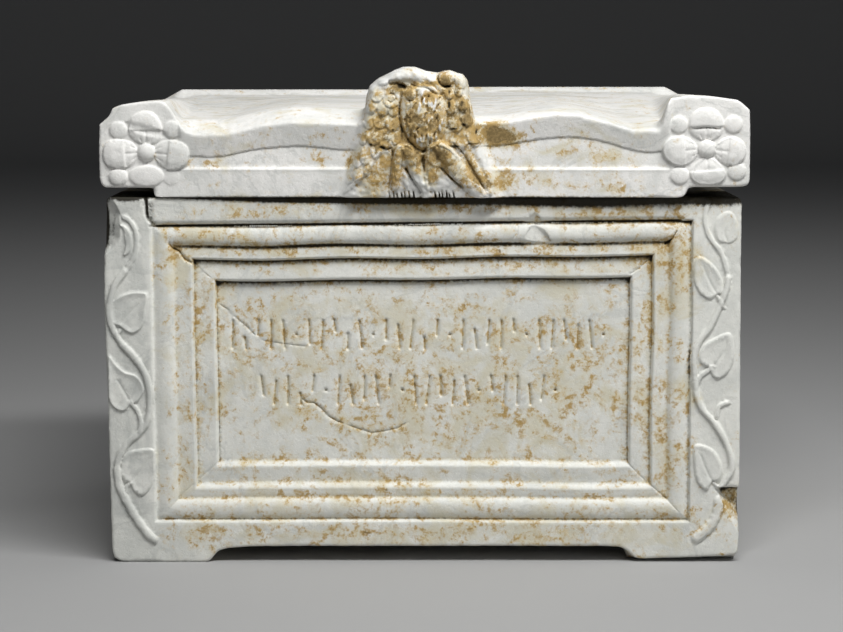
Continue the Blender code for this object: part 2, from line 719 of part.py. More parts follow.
def add_join(piece, name, adders, operation):
    """Cuts the shapes that these functions make away from a piece, or joins them to it."""
    collection = new_collection(name)
    for adder, arguments in adders:
        adder(*arguments, collection)
    add_boolean(piece, operation, collection)


def build():
    clear_scene()
    urn = new_collection("cinerary_urn")
    chest = make_chest(urn)
    add_join(chest, "chest_vines", [(add_vine, (side,)) for side in (LEFT, RIGHT)], "UNION")
    cuts = (add_cavity, add_foot_gaps, add_slot, add_stroke_rows, add_chips)
    add_join(chest, "chest_cutters", [(cut, ()) for cut in cuts], "DIFFERENCE")
    chest.data.materials.append(marble("chest_marble", (0.70, 0.67, 0.60), 0.55))

    lid = make_lid(urn)
    add_join(lid, "lid_cutters", [(add_tympanum, ()), (add_block_gaps, ())], "DIFFERENCE")
    carvings = [(add_rosette, (side,)) for side in (LEFT, RIGHT)] + [(add_eagle, ())]
    add_join(lid, "lid_carving", carvings, "UNION")
    lid.data.materials.append(marble("lid_marble", (0.74, 0.72, 0.68), 0.50))


build()
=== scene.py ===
"""Looks of the cinerary urn: a hollow marble chest with a moulded front, and its loose lid.

Each piece is one carved block. Its front is cut as a relief, and its sides are drawn back from the
outline of that front. Sizes in the classes are millimetres: x to the right, z up from the ground, and
depth from the block's front plane into the stone, so that what stands proud has a depth below zero.
"""

import logging
import math
from abc import ABC, abstractmethod
from dataclasses import dataclass
from enum import Enum

import bmesh
import bpy
import numpy as np
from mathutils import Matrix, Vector
from mathutils.geometry import delaunay_2d_cdt
from mathutils.kdtree import KDTree


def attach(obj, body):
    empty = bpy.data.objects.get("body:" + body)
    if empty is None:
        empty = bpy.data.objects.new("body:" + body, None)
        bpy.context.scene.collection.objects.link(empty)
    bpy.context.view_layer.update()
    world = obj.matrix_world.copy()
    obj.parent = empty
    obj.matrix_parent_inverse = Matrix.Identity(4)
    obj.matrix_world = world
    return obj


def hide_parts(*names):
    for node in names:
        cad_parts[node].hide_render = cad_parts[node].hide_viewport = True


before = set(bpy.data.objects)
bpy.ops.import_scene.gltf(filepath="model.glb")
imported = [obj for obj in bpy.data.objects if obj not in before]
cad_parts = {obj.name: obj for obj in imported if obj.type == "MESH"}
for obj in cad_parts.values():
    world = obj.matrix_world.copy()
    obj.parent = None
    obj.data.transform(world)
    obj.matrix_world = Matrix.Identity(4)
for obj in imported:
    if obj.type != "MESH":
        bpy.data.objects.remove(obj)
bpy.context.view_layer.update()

LOG = logging.getLogger("cinerary_urn")
MM = 0.001

Array = np.ndarray
Pair = tuple[float, float]
Triple = tuple[float, float, float]
Line = tuple[Pair, ...]
Rows = tuple[tuple[float, ...], ...]
Socket = bpy.types.NodeSocket


class Side(Enum):
    """The two ends of the urn, as the sign of x."""

    LEFT = -1
    RIGHT = 1


def unit(value: Array) -> Array:
    """The value, held between 0 and 1."""
    return np.clip(value, 0.0, 1.0)


def ease(part: Array) -> Array:
    """A soft step from 0 to 1 while part runs from 0 to 1."""
    return (1 - np.cos(np.pi * unit(part))) / 2


def blend(low: Array, high: Array, part: Array) -> Array:
    """The value this part of the way from low to high."""
    return low + (high - low) * part


def resample(points: Array | Line, step: float, closed: bool = False) -> Array:
    """Spaces points evenly along a line.

    Args:
        points: the line's corners, one row each.
        step: the distance between the new points.
        closed: whether the line runs back to its start.

    Returns:
        The new points. A closed line doesn't repeat its first one.
    """
    corners = np.asarray(points, float)
    if closed:
        corners = np.vstack([corners, corners[:1]])
    along = np.concatenate([[0.0], np.cumsum(np.linalg.norm(np.diff(corners, axis=0), axis=1))])
    count = max(int(round(along[-1] / step)), 2)
    places = np.linspace(0.0, along[-1], count + 1)
    if closed:
        places = places[:-1]
    return np.stack([np.interp(places, along, corners[:, k]) for k in range(2)], axis=1)


def rounded(points: Line, step: float, closed: bool = False) -> Array:
    """Draws a soft curve through every point.

    Args:
        points: the points that the curve passes.
        step: the distance between the points of the result.
        closed: whether the curve runs back to its start.

    Returns:
        Evenly spaced points of the curve.
    """
    corners = np.asarray(points, float)
    if closed:
        corners = np.vstack([corners[-1:], corners, corners[:2]])
    else:
        corners = np.vstack([2 * corners[0] - corners[1], corners, 2 * corners[-1] - corners[-2]])
    share = np.linspace(0.0, 1.0, 9)[:-1, None]
    runs = []
    for before, start, end, after in zip(corners, corners[1:], corners[2:], corners[3:]):
        runs.append(0.5 * (
            2 * start + (end - before) * share
            + (2 * before - 5 * start + 4 * end - after) * share ** 2
            + (3 * start - before - 3 * end + after) * share ** 3
        ))
    curve = np.vstack(runs if closed else runs + [corners[-2][None, :]])
    return resample(curve, step, closed)


def turned(directions: Array) -> Array:
    """The directions, turned a quarter to the right."""
    return np.stack([directions[:, 1], -directions[:, 0]], axis=1)


def lengths_of(directions: Array) -> Array:
    """The directions' lengths, as a column without zeros."""
    return np.maximum(np.linalg.norm(directions, axis=1, keepdims=True), 1e-9)


def normals_of(ring: Array) -> Array:
    """Unit vectors that point out of a ring that runs against the clock."""
    outwards = turned(np.roll(ring, -1, axis=0) - np.roll(ring, 1, axis=0))
    return outwards / lengths_of(outwards)


def beside(line: Array, distance: float) -> Array:
    """The line moved sideways by this distance, to its right where that is above zero."""
    across = turned(np.gradient(line, axis=0))
    return line + distance * across / lengths_of(across)


def rows_beside(line: Array, width: float, shares: tuple[float, ...]) -> Array:
    """Copies of the line, each moved sideways by its share of a width."""
    return np.vstack([beside(line, share * width) for share in shares])


def near(points: Array, line: Array, margin: float) -> Array:
    """Which points lie in the box around a line, widened by a margin."""
    low, high = line.min(axis=0) - margin, line.max(axis=0) + margin
    return np.all((points >= low) & (points <= high), axis=1)


def reach(points: Array, line: Array) -> tuple[Array, Array]:
    """Measures how far points lie from a line.

    Args:
        points: the points to measure.
        line: the line's points in order.

    Returns:
        The distance of each point, and the share of the line's length at its nearest place.
    """
    best = np.full(len(points), 1e9)
    share = np.zeros(len(points))
    lengths = np.linalg.norm(np.diff(line, axis=0), axis=1)
    total = max(lengths.sum(), 1e-9)
    passed = 0.0
    for start, end, length in zip(line, line[1:], lengths):
        run = (end - start) / max(length, 1e-9)
        along = np.clip((points - start) @ run, 0.0, length)
        distance = np.linalg.norm(points - start - along[:, None] * run, axis=1)
        closer = distance < best
        best = np.where(closer, distance, best)
        share = np.where(closer, (passed + along) / total, share)
        passed += length
    return best, share


def inside(points: Array, ring: Array) -> Array:
    """Finds the points inside a closed ring.

    Args:
        points: the places.
        ring: the ring's corners in order.

    Returns:
        True for each point that lies inside.
    """
    result = np.zeros(len(points), bool)
    for (x0, z0), (x1, z1) in zip(ring, np.roll(ring, -1, axis=0)):
        if z0 == z1:
            continue
        crossed = (points[:, 1] < z0) != (points[:, 1] < z1)
        result ^= crossed & (points[:, 0] < x0 + (points[:, 1] - z0) * (x1 - x0) / (z1 - z0))
    return result


def depth_inside(points: Array, ring: Array) -> Array:
    """How far points lie inside a closed ring, below zero where they are outside."""
    distance, _ = reach(points, np.vstack([ring, ring[:1]]))
    return np.where(inside(points, ring), distance, -distance)


def nearest(points: Array, targets: Array) -> tuple[Array, Array]:
    """Finds the target that lies nearest to each point.

    Args:
        points: the places.
        targets: the places to choose from.

    Returns:
        The distance of each point, and the row of its target.
    """
    tree = KDTree(len(targets))
    for index, (x, z) in enumerate(targets):
        tree.insert((x, z, 0.0), index)
    tree.balance()
    found = [tree.find((x, z, 0.0)) for x, z in points]
    return np.array([item[2] for item in found]), np.array([item[1] for item in found])


@dataclass(frozen=True)
class Grain:
    """Smooth seeded unevenness between -1 and 1."""

    size: float
    seed: int
    cells: int = 64

    def at(self, points: Array) -> Array:
        """Reads the unevenness.

        Args:
            points: the places.

        Returns:
            One value for each place.
        """
        table = np.random.default_rng(self.seed).uniform(-1.0, 1.0, (self.cells, self.cells))
        place = points / self.size
        cell = np.floor(place).astype(int)
        part = place - cell
        part = part * part * (3 - 2 * part)
        x0, z0 = cell[:, 0] % self.cells, cell[:, 1] % self.cells
        x1, z1 = (x0 + 1) % self.cells, (z0 + 1) % self.cells
        low = blend(table[x0, z0], table[x1, z0], part[:, 0])
        high = blend(table[x0, z1], table[x1, z1], part[:, 0])
        return blend(low, high, part[:, 1])


class Carving(ABC):
    """One thing that is cut into the front of a block, or left standing on it."""

    @abstractmethod
    def guides(self) -> Array:
        """Points where the block's front needs a vertex."""

    @abstractmethod
    def cut(self, points: Array, depth: Array) -> Array:
        """Carves this.

        Args:
            points: the places.
            depth: the depth there so far.

        Returns:
            The new depth.
        """


class Group(Carving):
    """Several carvings that belong together."""

    @abstractmethod
    def forms(self) -> list[Carving]:
        """The group's carvings, in carving order."""

    def guides(self) -> Array:
        """Points for every carving of the group."""
        return np.vstack([form.guides() for form in self.forms()])

    def cut(self, points: Array, depth: Array) -> Array:
        """Carves the whole group.

        Args:
            points: the places.
            depth: the depth there so far.

        Returns:
            The new depth.
        """
        for form in self.forms():
            depth = form.cut(points, depth)
        return depth


@dataclass(frozen=True)
class Stem(Carving):
    """A round stem of a vine."""

    points: Line
    width: float = 3.2
    proud: float = 1.4
    step: float = 0.8
    shares: tuple[float, ...] = (-1.12, -0.97, -0.8, -0.4, 0.0, 0.4, 0.8, 0.97, 1.12)
    swelling: Pair = (0.05, 37.0)
    foot_sink: float = 0.3
    foot_reach: float = 1.8

    def line(self) -> Array:
        """The stem's middle line."""
        return rounded(self.points, self.step)

    def guides(self) -> Array:
        """Rows of points along the stem, closest together at its edges."""
        return rows_beside(self.line(), self.width / 2, self.shares)

    def cut(self, points: Array, depth: Array) -> Array:
        """Leaves the stem standing as a half round.

        Args:
            points: the places.
            depth: the depth there so far.

        Returns:
            The new depth.
        """
        line = self.line()
        result = depth.copy()
        chosen = near(points, line, self.width)
        distance, share = reach(points[chosen], line)
        much, waves = self.swelling
        across = unit(distance / (self.width / 2 * (1 + much * np.sin(share * waves))))
        height = self.proud * np.sqrt(1 - across ** 2) * ease(4 * (1 - across)) - 0.3 * (1 - across)
        beside_foot = unit(1 - np.abs(distance - self.width / 2) / self.foot_reach)
        ground = result[chosen] + self.foot_sink * beside_foot
        result[chosen] = np.where(across < 1, np.minimum(result[chosen], -height), ground)
        return result


@dataclass(frozen=True)
class Leaf(Carving):
    """A leaf or petal with a sharp rim, a dished face, a cut midrib and, for some, a step across it.

    The step is given as the point it is measured from, its distance from there, and how deep it is.
    """

    outline: Line
    midrib: Line
    proud: float = 1.15
    dish: float = 0.75
    reach_in: float = 3.6
    step: tuple[Pair, float, float] | None = None
    rib_sink: float = 0.45
    rib_half: float = 0.55

    def ring(self) -> Array:
        """The leaf's rim."""
        return rounded(self.outline, 0.8, closed=True)

    def guides(self) -> Array:
        """Points along the rim, just inside and outside it, and along the midrib.

        Returns:
            The points, one row each.
        """
        ring = self.ring()
        outwards = normals_of(ring)
        rows = [ring + outwards * distance for distance in (-1.1, -0.45, -0.05, 0.35)]
        rib = rounded(self.midrib, 0.7)
        rows.append(rows_beside(rib, self.rib_half, (-1.0, 0.0, 1.0)))
        if self.step:
            out = (rib[-1] - rib[0]) / np.linalg.norm(rib[-1] - rib[0])
            across = np.outer(np.arange(-8.0, 8.1, 0.8), (-out[1], out[0])) + self.step[0]
            rows += [across + out * (self.step[1] + shift) for shift in (-0.7, -0.2, 0.2, 0.7)]
        return np.vstack(rows)

    def cut(self, points: Array, depth: Array) -> Array:
        """Leaves the leaf standing.

        Args:
            points: the places.
            depth: the depth there so far.

        Returns:
            The new depth.
        """
        ring = self.ring()
        result = depth.copy()
        chosen = np.flatnonzero(near(points, ring, 1.0))
        places = points[chosen]
        signed = depth_inside(places, ring)
        rim = ease((signed + 0.35) / 0.8)
        dished = self.dish * ease(signed / self.reach_in)
        from_rib, _ = reach(places, rounded(self.midrib, 0.7))
        rib = self.rib_sink * unit(1 - from_rib / self.rib_half) * (signed > 0)
        height = self.proud - dished - rib
        if self.step:
            centre, place, sink = self.step
            out = np.mean(self.outline, axis=0) - centre
            along = (places - centre) @ (out / np.linalg.norm(out))
            height = height - sink * ease((place - along) / 1.1 + 0.5)
        result[chosen] = blend(result[chosen], np.minimum(result[chosen], -height), rim)
        return result


@dataclass(frozen=True)
class Furrow(Carving):
    """A narrow cut or crack that follows a line."""

    points: Line
    width: float = 0.8
    sink: float = 0.6
    soft: bool = False
    step: float = 0.6

    def line(self) -> Array:
        """The furrow's middle line."""
        return rounded(self.points, self.step) if self.soft else resample(self.points, self.step)

    def guides(self) -> Array:
        """Points along the furrow's middle and both of its edges."""
        return rows_beside(self.line(), self.width, (-0.55, -0.25, 0.0, 0.25, 0.55))

    def cut(self, points: Array, depth: Array) -> Array:
        """Cuts the furrow, which runs out at its ends.

        Args:
            points: the places.
            depth: the depth there so far.

        Returns:
            The new depth.
        """
        line = self.line()
        result = depth.copy()
        chosen = near(points, line, self.width)
        distance, share = reach(points[chosen], line)
        ends = ease(np.minimum(share, 1 - share) * 9)
        result[chosen] += self.sink * ends * unit(1 - distance / (self.width / 2)) ** 0.8
        return result


@dataclass(frozen=True)
class Lobe(Carving):
    """A rounded swelling such as a boss or a limb, which stands on its own or adds to what is there."""

    middle: Pair
    radii: Pair
    proud: float
    turn: float = 0.0
    fullness: float = 0.5
    base: float = 0.0
    over: bool = True
    lean: float = 0.0

    def local(self, points: Array) -> Array:
        """Turns places into shares of the lobe's radii.

        Args:
            points: the places.

        Returns:
            The places seen from the lobe's middle and along its own axes.
        """
        turn = math.radians(self.turn)
        right, up = (points - np.asarray(self.middle)).T
        across = right * math.cos(turn) - up * math.sin(turn)
        along = right * math.sin(turn) + up * math.cos(turn)
        return np.stack([across / self.radii[0], along / self.radii[1]], axis=1)

    def guides(self) -> Array:
        """Rings of points, closest together at the lobe's edge.

        Returns:
            The points, one row each.
        """
        turn = math.radians(self.turn)
        rows = []
        for share in (0.35, 0.6, 0.8, 0.92, 0.99, 1.05):
            count = max(int(2 * math.pi * share * max(self.radii) / 0.8), 8)
            angle = np.linspace(0, 2 * math.pi, count, endpoint=False)
            across, along = np.cos(angle) * self.radii[0] * share, np.sin(angle) * self.radii[1] * share
            right = across * math.cos(turn) + along * math.sin(turn)
            up = -across * math.sin(turn) + along * math.cos(turn)
            rows.append(np.stack([right + self.middle[0], up + self.middle[1]], axis=1))
        return np.vstack(rows)

    def cut(self, points: Array, depth: Array) -> Array:
        """Leaves the lobe standing, or adds its swelling to what is there.

        Args:
            points: the places.
            depth: the depth there so far.

        Returns:
            The new depth.
        """
        offset = self.local(points)
        gone = np.sum(offset ** 2, axis=1)
        rise = self.proud * (1 - self.lean * offset[:, 1]) * unit(1 - gone) ** self.fullness
        if self.over:
            return np.where(gone < 1, np.minimum(depth, -self.base - rise), depth)
        return depth - rise


@dataclass(frozen=True)
class Ridge(Carving):
    """A raised ridge with a rounded section that follows a line and narrows towards its ends."""

    points: Line
    width: float
    rise: float
    taper: float = 0.5
    step: float = 0.9

    def line(self) -> Array:
        """The ridge's middle line."""
        return rounded(self.points, self.step)

    def guides(self) -> Array:
        """Points along the ridge's middle and both of its flanks."""
        return rows_beside(self.line(), self.width, (-0.52, -0.3, 0.0, 0.3, 0.52))

    def cut(self, points: Array, depth: Array) -> Array:
        """Adds the ridge to what is there.

        Args:
            points: the places.
            depth: the depth there so far.

        Returns:
            The new depth.
        """
        line = self.line()
        result = depth.copy()
        chosen = near(points, line, self.width)
        distance, share = reach(points[chosen], line)
        body = 1 - self.taper * (1 - np.sin(np.pi * unit(share)))
        across = unit(distance / (self.width / 2 * body))
        result[chosen] -= self.rise * body * np.sqrt(1 - across ** 2)
        return result


@dataclass(frozen=True)
class Moulding(Carving):
    """The frame on the chest's front: groove, roll, hollow, flat band and sunk panel.

    The section gives depths at places between the frame's outer edge and the panel. The sides, the top
    and the foot are each a little wider or narrower, so each turns its own distances into those places.
    """

    left: float = -155.9
    right: float = 153.6
    bottom: float = 24.4
    top: float = 199.0
    top_slope: float = 0.0105
    section: Line = (
        (-1.2, 0), (-0.6, 0.1), (-0.1, 0.5), (0.35, 2), (0.8, 2.4), (1.3, 2.2), (2.2, 1.6), (3.2, 1.15),
        (4.6, 0.75), (6.4, 0.5), (8.2, 0.5), (9.8, 0.75), (11.4, 1.35), (12.5, 2.3), (13.3, 3.2), (14.1, 3.5),
        (15, 3.3), (16.2, 3.1), (17.8, 3.05), (19.4, 2.9), (19.9, 3.3), (20.8, 5.6), (21.4, 5.7), (25, 5.4),
        (29, 5.1), (31.2, 5), (31.7, 5.3), (32.8, 8.1), (33.6, 8), (60, 8),
    )
    levels: tuple[float, ...] = (
        -1.2, -0.6, -0.1, 0.15, 0.35, 0.8, 1.3, 2.2, 3.2, 4.6, 6.4, 8.2, 9.8, 11.4, 12.5, 13.3, 14.1, 15, 16.2,
        17.8, 19, 19.4, 19.9, 20.35, 20.8, 21.4, 23.5, 26, 28.8, 30.4, 31.2, 31.7, 32.25, 32.8, 33.6, 34.6,
    )
    left_places: Line = (
        (-9, -9), (13.9, 13.9), (22.8, 19.5), (24.4, 20.9), (35.4, 31.5), (36.9, 32.9), (80, 76),
    )
    right_places: Line = (
        (-9, -9), (13, 13.9), (20.9, 19.5), (22.5, 20.9), (33.8, 31.5), (35.3, 32.9), (80, 77.6),
    )
    foot_places: Line = (
        (-9, -9), (13.5, 13.9), (18.3, 19.5), (22.2, 20.9), (31.2, 31.5), (34.9, 32.9), (80, 78),
    )
    top_places: Line = (
        (-7.9, -9), (1.9, 0.8), (3.3, 2.2), (13.9, 13.9), (21.3, 20.4), (33.7, 32.2), (80, 78.5),
    )
    side_rise: Rows = ((0.9, 0.8, 0.5), (14.0, 1.2, 0.3))
    wander: Grain = Grain(46.0, 5)
    wander_reach: float = 0.6
    spacing: float = 1.15

    def drift(self, points: Array) -> Array:
        """How far the hand-cut lines stray, along x and z."""
        shift = self.wander_reach * self.wander.at(points)
        return np.stack([shift, -shift], axis=1)

    def upright(self, points: Array) -> Array:
        """Tells the frame's sides from its top and foot.

        Args:
            points: the places.

        Returns:
            1 along the upright sides, and 0 along the top and the foot.
        """
        x, z = points.T
        to_side = np.minimum(x - self.left, self.right - x)
        return ease((np.minimum(self.top - z, z - self.bottom) - to_side) / 2.0)

    def inset(self, points: Array) -> Array:
        """Measures how far points lie within the frame.

        Args:
            points: the places.

        Returns:
            The place of each in the frame's section. Below zero is outside the frame.
        """
        x, z = (points + self.drift(points)).T
        to_left = np.interp(x - self.left, *np.asarray(self.left_places).T)
        to_right = np.interp(self.right - x, *np.asarray(self.right_places).T)
        to_foot = np.interp(z - self.bottom, *np.asarray(self.foot_places).T)
        to_top = np.interp(self.top + self.top_slope * x - z, *np.asarray(self.top_places).T)
        return np.minimum(np.minimum(to_left, to_right), np.minimum(to_foot, to_top))

    def corners(self, level: float) -> Array:
        """Finds the line that the frame follows at one place of its section.

        Args:
            level: the place in the section.

        Returns:
            The line's four corners, against the clock.
        """
        from_left, from_right, up, down = (
            np.interp(level, *np.asarray(places)[:, ::-1].T)
            for places in (self.left_places, self.right_places, self.foot_places, self.top_places)
        )
        left, right, bottom = self.left + from_left, self.right - from_right, self.bottom + up
        tops = [self.top + self.top_slope * x - down for x in (right, left)]
        return np.array([(left, bottom), (right, bottom), (right, tops[0]), (left, tops[1])])

    def guides(self) -> Array:
        """Rows of points along every line of the frame, and down its mitres.

        Returns:
            The points, one row each.
        """
        rows = [resample(self.corners(level), self.spacing, closed=True) for level in self.levels]
        for corner in range(4):
            mitre = np.array([self.corners(level)[corner] for level in self.levels])
            rows.append(resample(mitre, 0.7))
        places = np.vstack(rows)
        return places - self.drift(places)

    def cut(self, points: Array, depth: Array) -> Array:
        """Cuts the frame.

        Args:
            points: the places.
            depth: the depth there so far.

        Returns:
            The new depth.
        """
        section = np.asarray(self.section)
        inset = self.inset(points)
        rises = sum(rise * np.exp(-((inset - place) / wide) ** 2) for place, wide, rise in self.side_rise)
        shallower = rises * self.upright(points)
        return np.maximum(depth, np.interp(inset, section[:, 0], section[:, 1]) - shallower)


@dataclass(frozen=True)
class Fascia(Carving):
    """The plain band over the frame: it has a turned-under lower edge, and a slot at its left end."""

    left: float = -156.2
    right: float = 151.0
    bottom: float = 197.8
    slope: float = 0.0105
    turn_under: float = 3.2
    end_round: float = 1.3
    sink: float = 3.2
    slot: Line = (
        (-158.9, 213.6), (-158.6, 207), (-158, 202), (-156.6, 199.2), (-154.6, 197.6),
    )
    slot_width: float = 2.1
    slot_edge: float = 0.62
    end_fade: float = 6.0

    def edge(self, x: Array) -> Array:
        """The height of the band's lower edge at x."""
        return self.bottom + self.slope * x

    def guides(self) -> Array:
        """Points along the lower edge and the slot.

        Returns:
            The points, one row each.
        """
        run = resample([(x, self.edge(x)) for x in (self.left, self.right)], 1.1)
        rows = [run + (0.0, lift) for lift in (-0.3, 0.3, 0.9, 1.6, 2.4, 3.3)]
        shares = (-self.slot_edge, -0.45, 0.0, 0.45, self.slot_edge)
        return np.vstack([*rows, rows_beside(rounded(self.slot, 0.8), self.slot_width, shares)])

    def cut(self, points: Array, depth: Array) -> Array:
        """Turns the band's edges in and cuts the slot.

        Args:
            points: the places.
            depth: the depth there so far.

        Returns:
            The new depth.
        """
        x, z = points.T
        up = unit((z - self.bottom - self.slope * x) / self.turn_under)
        inwards = unit((x - self.left) / self.end_round)
        clear = 1 - np.minimum(np.hypot(1 - up, 1 - inwards), 1.0)
        fade = ease((self.right - x) / self.end_fade)
        within = (z > self.edge(x) - 0.4) & (x > self.left - 0.2) & (x < self.right)
        turned = self.sink * (1 - np.sin(np.pi / 2 * clear)) * fade
        result = np.where(within, np.maximum(depth, turned), depth)
        slot = rounded(self.slot, 0.8)
        chosen = near(points, slot, self.slot_width)
        distance, _ = reach(points[chosen], slot)
        trench = self.sink * unit((self.slot_width * self.slot_edge - distance) / 0.7)
        result[chosen] = np.maximum(result[chosen], trench)
        return result


@dataclass(frozen=True)
class StrokeRows(Group):
    """Rows of plain chisel strokes on the panel, none of which meet. They aren't letters."""

    panel: tuple[float, float, float, float] = (-119.9, 117.6, 60.4, 163.0)
    rows: Rows = ((0.023, 0.967, 0.705), (0.094, 0.846, 0.387))
    height: float = 19.0
    pitch: float = 7.4
    width: float = 2.25
    sink: float = 1.3
    tilts: tuple[float, ...] = (2, -6, 5, 1, -4, 7, -2, 4, -7)
    shares: tuple[float, ...] = (1.0, 0.72, 1.0, 0.46, 0.86, 1.0, 0.58)
    between_pits: int = 6
    pit_share: float = 0.10

    def forms(self) -> list[Carving]:
        """Lays out the strokes as the solid's are.

        Returns:
            One furrow for each stroke.
        """
        left, right, bottom, top = self.panel
        made: list[Carving] = []
        for row, (start, end, height) in enumerate(self.rows):
            first = blend(left, right, start)
            count = int((blend(left, right, end) - first) / self.pitch)
            for index in range(count):
                is_pit = index % self.between_pits == self.between_pits - 1
                share = self.pit_share if is_pit else self.shares[(index * 3 + row) % len(self.shares)]
                length = self.height * share
                lift = 0.0 if is_pit else (self.height - length) / 2 * (-1) ** index
                tilt = math.radians(self.tilts[(index + row) % len(self.tilts)])
                x = first + (index + 0.5) * self.pitch
                z = blend(bottom, top, height) + lift
                run = (math.sin(tilt) * length / 2, math.cos(tilt) * length / 2)
                ends = ((x - run[0], z - run[1]), (x + run[0], z + run[1]))
                made.append(Furrow(ends, self.width, self.sink, step=0.55))
        return made


@dataclass(frozen=True)
class EdgeChip(Carving):
    """A facet that is broken off one edge of the chest, bounded by a line across its front."""

    side: Side
    boundary: Line
    slope: float
    most: float
    rough: Grain = Grain(3.0, 21)
    roughness: float = 0.4
    end_fade: float = 1.2

    def guides(self) -> Array:
        """Points along the break's boundary."""
        return rows_beside(rounded(self.boundary, 0.8), 1.0, (-0.8, -0.3, 0.1, 0.6))

    def cut(self, points: Array, depth: Array) -> Array:
        """Breaks the facet away.

        Args:
            points: the places.
            depth: the depth there so far.

        Returns:
            The new depth.
        """
        line = np.asarray(self.boundary)
        order = np.argsort(line[:, 1])
        x, z = points.T
        outwards = (x - np.interp(z, line[order, 1], line[order, 0])) * self.side.value
        low, high = line[:, 1].min(), line[:, 1].max()
        ends = ease((z - low) / self.end_fade) * ease((high - z) / self.end_fade)
        broken = np.clip(outwards * self.slope, 0.0, self.most) * ends
        broken += self.roughness * self.rough.at(points) * (broken > 0.3)
        return np.where(broken > 0.02, np.maximum(depth, broken), depth)


@dataclass(frozen=True)
class Facet(Carving):
    """A flat three-cornered facet that is broken out of the front, its corners as x, z and depth."""

    corners: Rows
    rough: Grain = Grain(1.6, 51)
    roughness: float = 0.2

    def guides(self) -> Array:
        """Points along its edges, and just inside and outside them.

        Returns:
            The points, one row each.
        """
        ring = resample(np.asarray(self.corners)[:, :2], 0.8, closed=True)
        middle = ring.mean(axis=0)
        return np.vstack([middle + (ring - middle) * share for share in (0.93, 1.0, 1.05)])

    def cut(self, points: Array, depth: Array) -> Array:
        """Breaks the facet away.

        Args:
            points: the places.
            depth: the depth there so far.

        Returns:
            The new depth.
        """
        corners = np.asarray(self.corners)
        plane = np.linalg.solve(np.column_stack([corners[:, :2], np.ones(3)]), corners[:, 2])
        found = points @ plane[:2] + plane[2] + self.roughness * self.rough.at(points)
        return np.where(inside(points, corners[:, :2]), np.maximum(depth, found), depth)


@dataclass(frozen=True)
class WaveFront(Carving):
    """The lid's front between its end blocks: fascia, sunk field and waved band under the roof."""

    fascia_top: float = 229.4
    field_sink: Pair = (1.0, 1.4)
    band_low: Line = (
        (-142, 236.6), (-132.3, 236.3), (-116.4, 236.3), (-106.8, 238.1), (-93.1, 240.7), (-72.5, 242.2),
        (-58.9, 241.5), (-45, 240.1), (-20, 240), (10, 241), (34.5, 242.3), (46.1, 243.1), (64.2, 246.1),
        (75, 247.2), (83.7, 247.5), (94.5, 246.4), (104, 244.3), (114.8, 241.1), (125.6, 238.9), (134.3, 239.4),
        (142, 241.6), (150, 246),
    )
    band_foot: float = 0.7
    band_lip: float = -2.1
    band_height: float = 14.0
    ends: Pair = (-140.5, 140.5)
    end_fade: float = 2.5
    arris_rise: float = 0.2
    arris_half: float = 0.9

    def low(self, x: Array) -> Array:
        """Height of the band's lower edge at x."""
        line = rounded(self.band_low, 1.0)
        return np.interp(x, line[:, 0], line[:, 1])

    def guides(self) -> Array:
        """Rows of points along the fascia's and the band's edges.

        Returns:
            The points, one row each.
        """
        line = rounded(self.band_low, 1.0)
        line = line[(line[:, 0] > self.ends[0]) & (line[:, 0] < self.ends[1])]
        rows = [line + (0.0, lift) for lift in (-0.5, -0.15, 0.15, 0.45, 1.0, 2.0)]
        flat = line * (1.0, 0.0) + (0.0, self.fascia_top)
        rows += [flat + (0.0, lift) for lift in (-1.5, -0.9, -0.45, -0.1, 0.4, 0.9)]
        return np.vstack(rows)

    def cut(self, points: Array, depth: Array) -> Array:
        """Sinks the field and leans the band forward.

        Args:
            points: the places.
            depth: the depth there so far.

        Returns:
            The new depth.
        """
        x, z = points.T
        low = self.low(x)
        within = ease((x - self.ends[0]) / self.end_fade) * ease((self.ends[1] - x) / self.end_fade)
        above_fascia = ease((z - self.fascia_top + 0.6) / 1.7)
        from_arris = np.abs(z - self.fascia_top + self.arris_half)
        arris = self.arris_rise * unit(1 - from_arris / self.arris_half)
        onto_band = unit((z - low + 0.15) / 0.3)
        lean = blend(self.band_foot, self.band_lip, unit((z - low) / self.band_height))
        rise = unit((z - self.fascia_top) / np.maximum(low - self.fascia_top, 1.0))
        field = blend(*self.field_sink, rise) * above_fascia - arris * (1 - above_fascia)
        face = blend(field, lean, onto_band)
        return depth + face * within


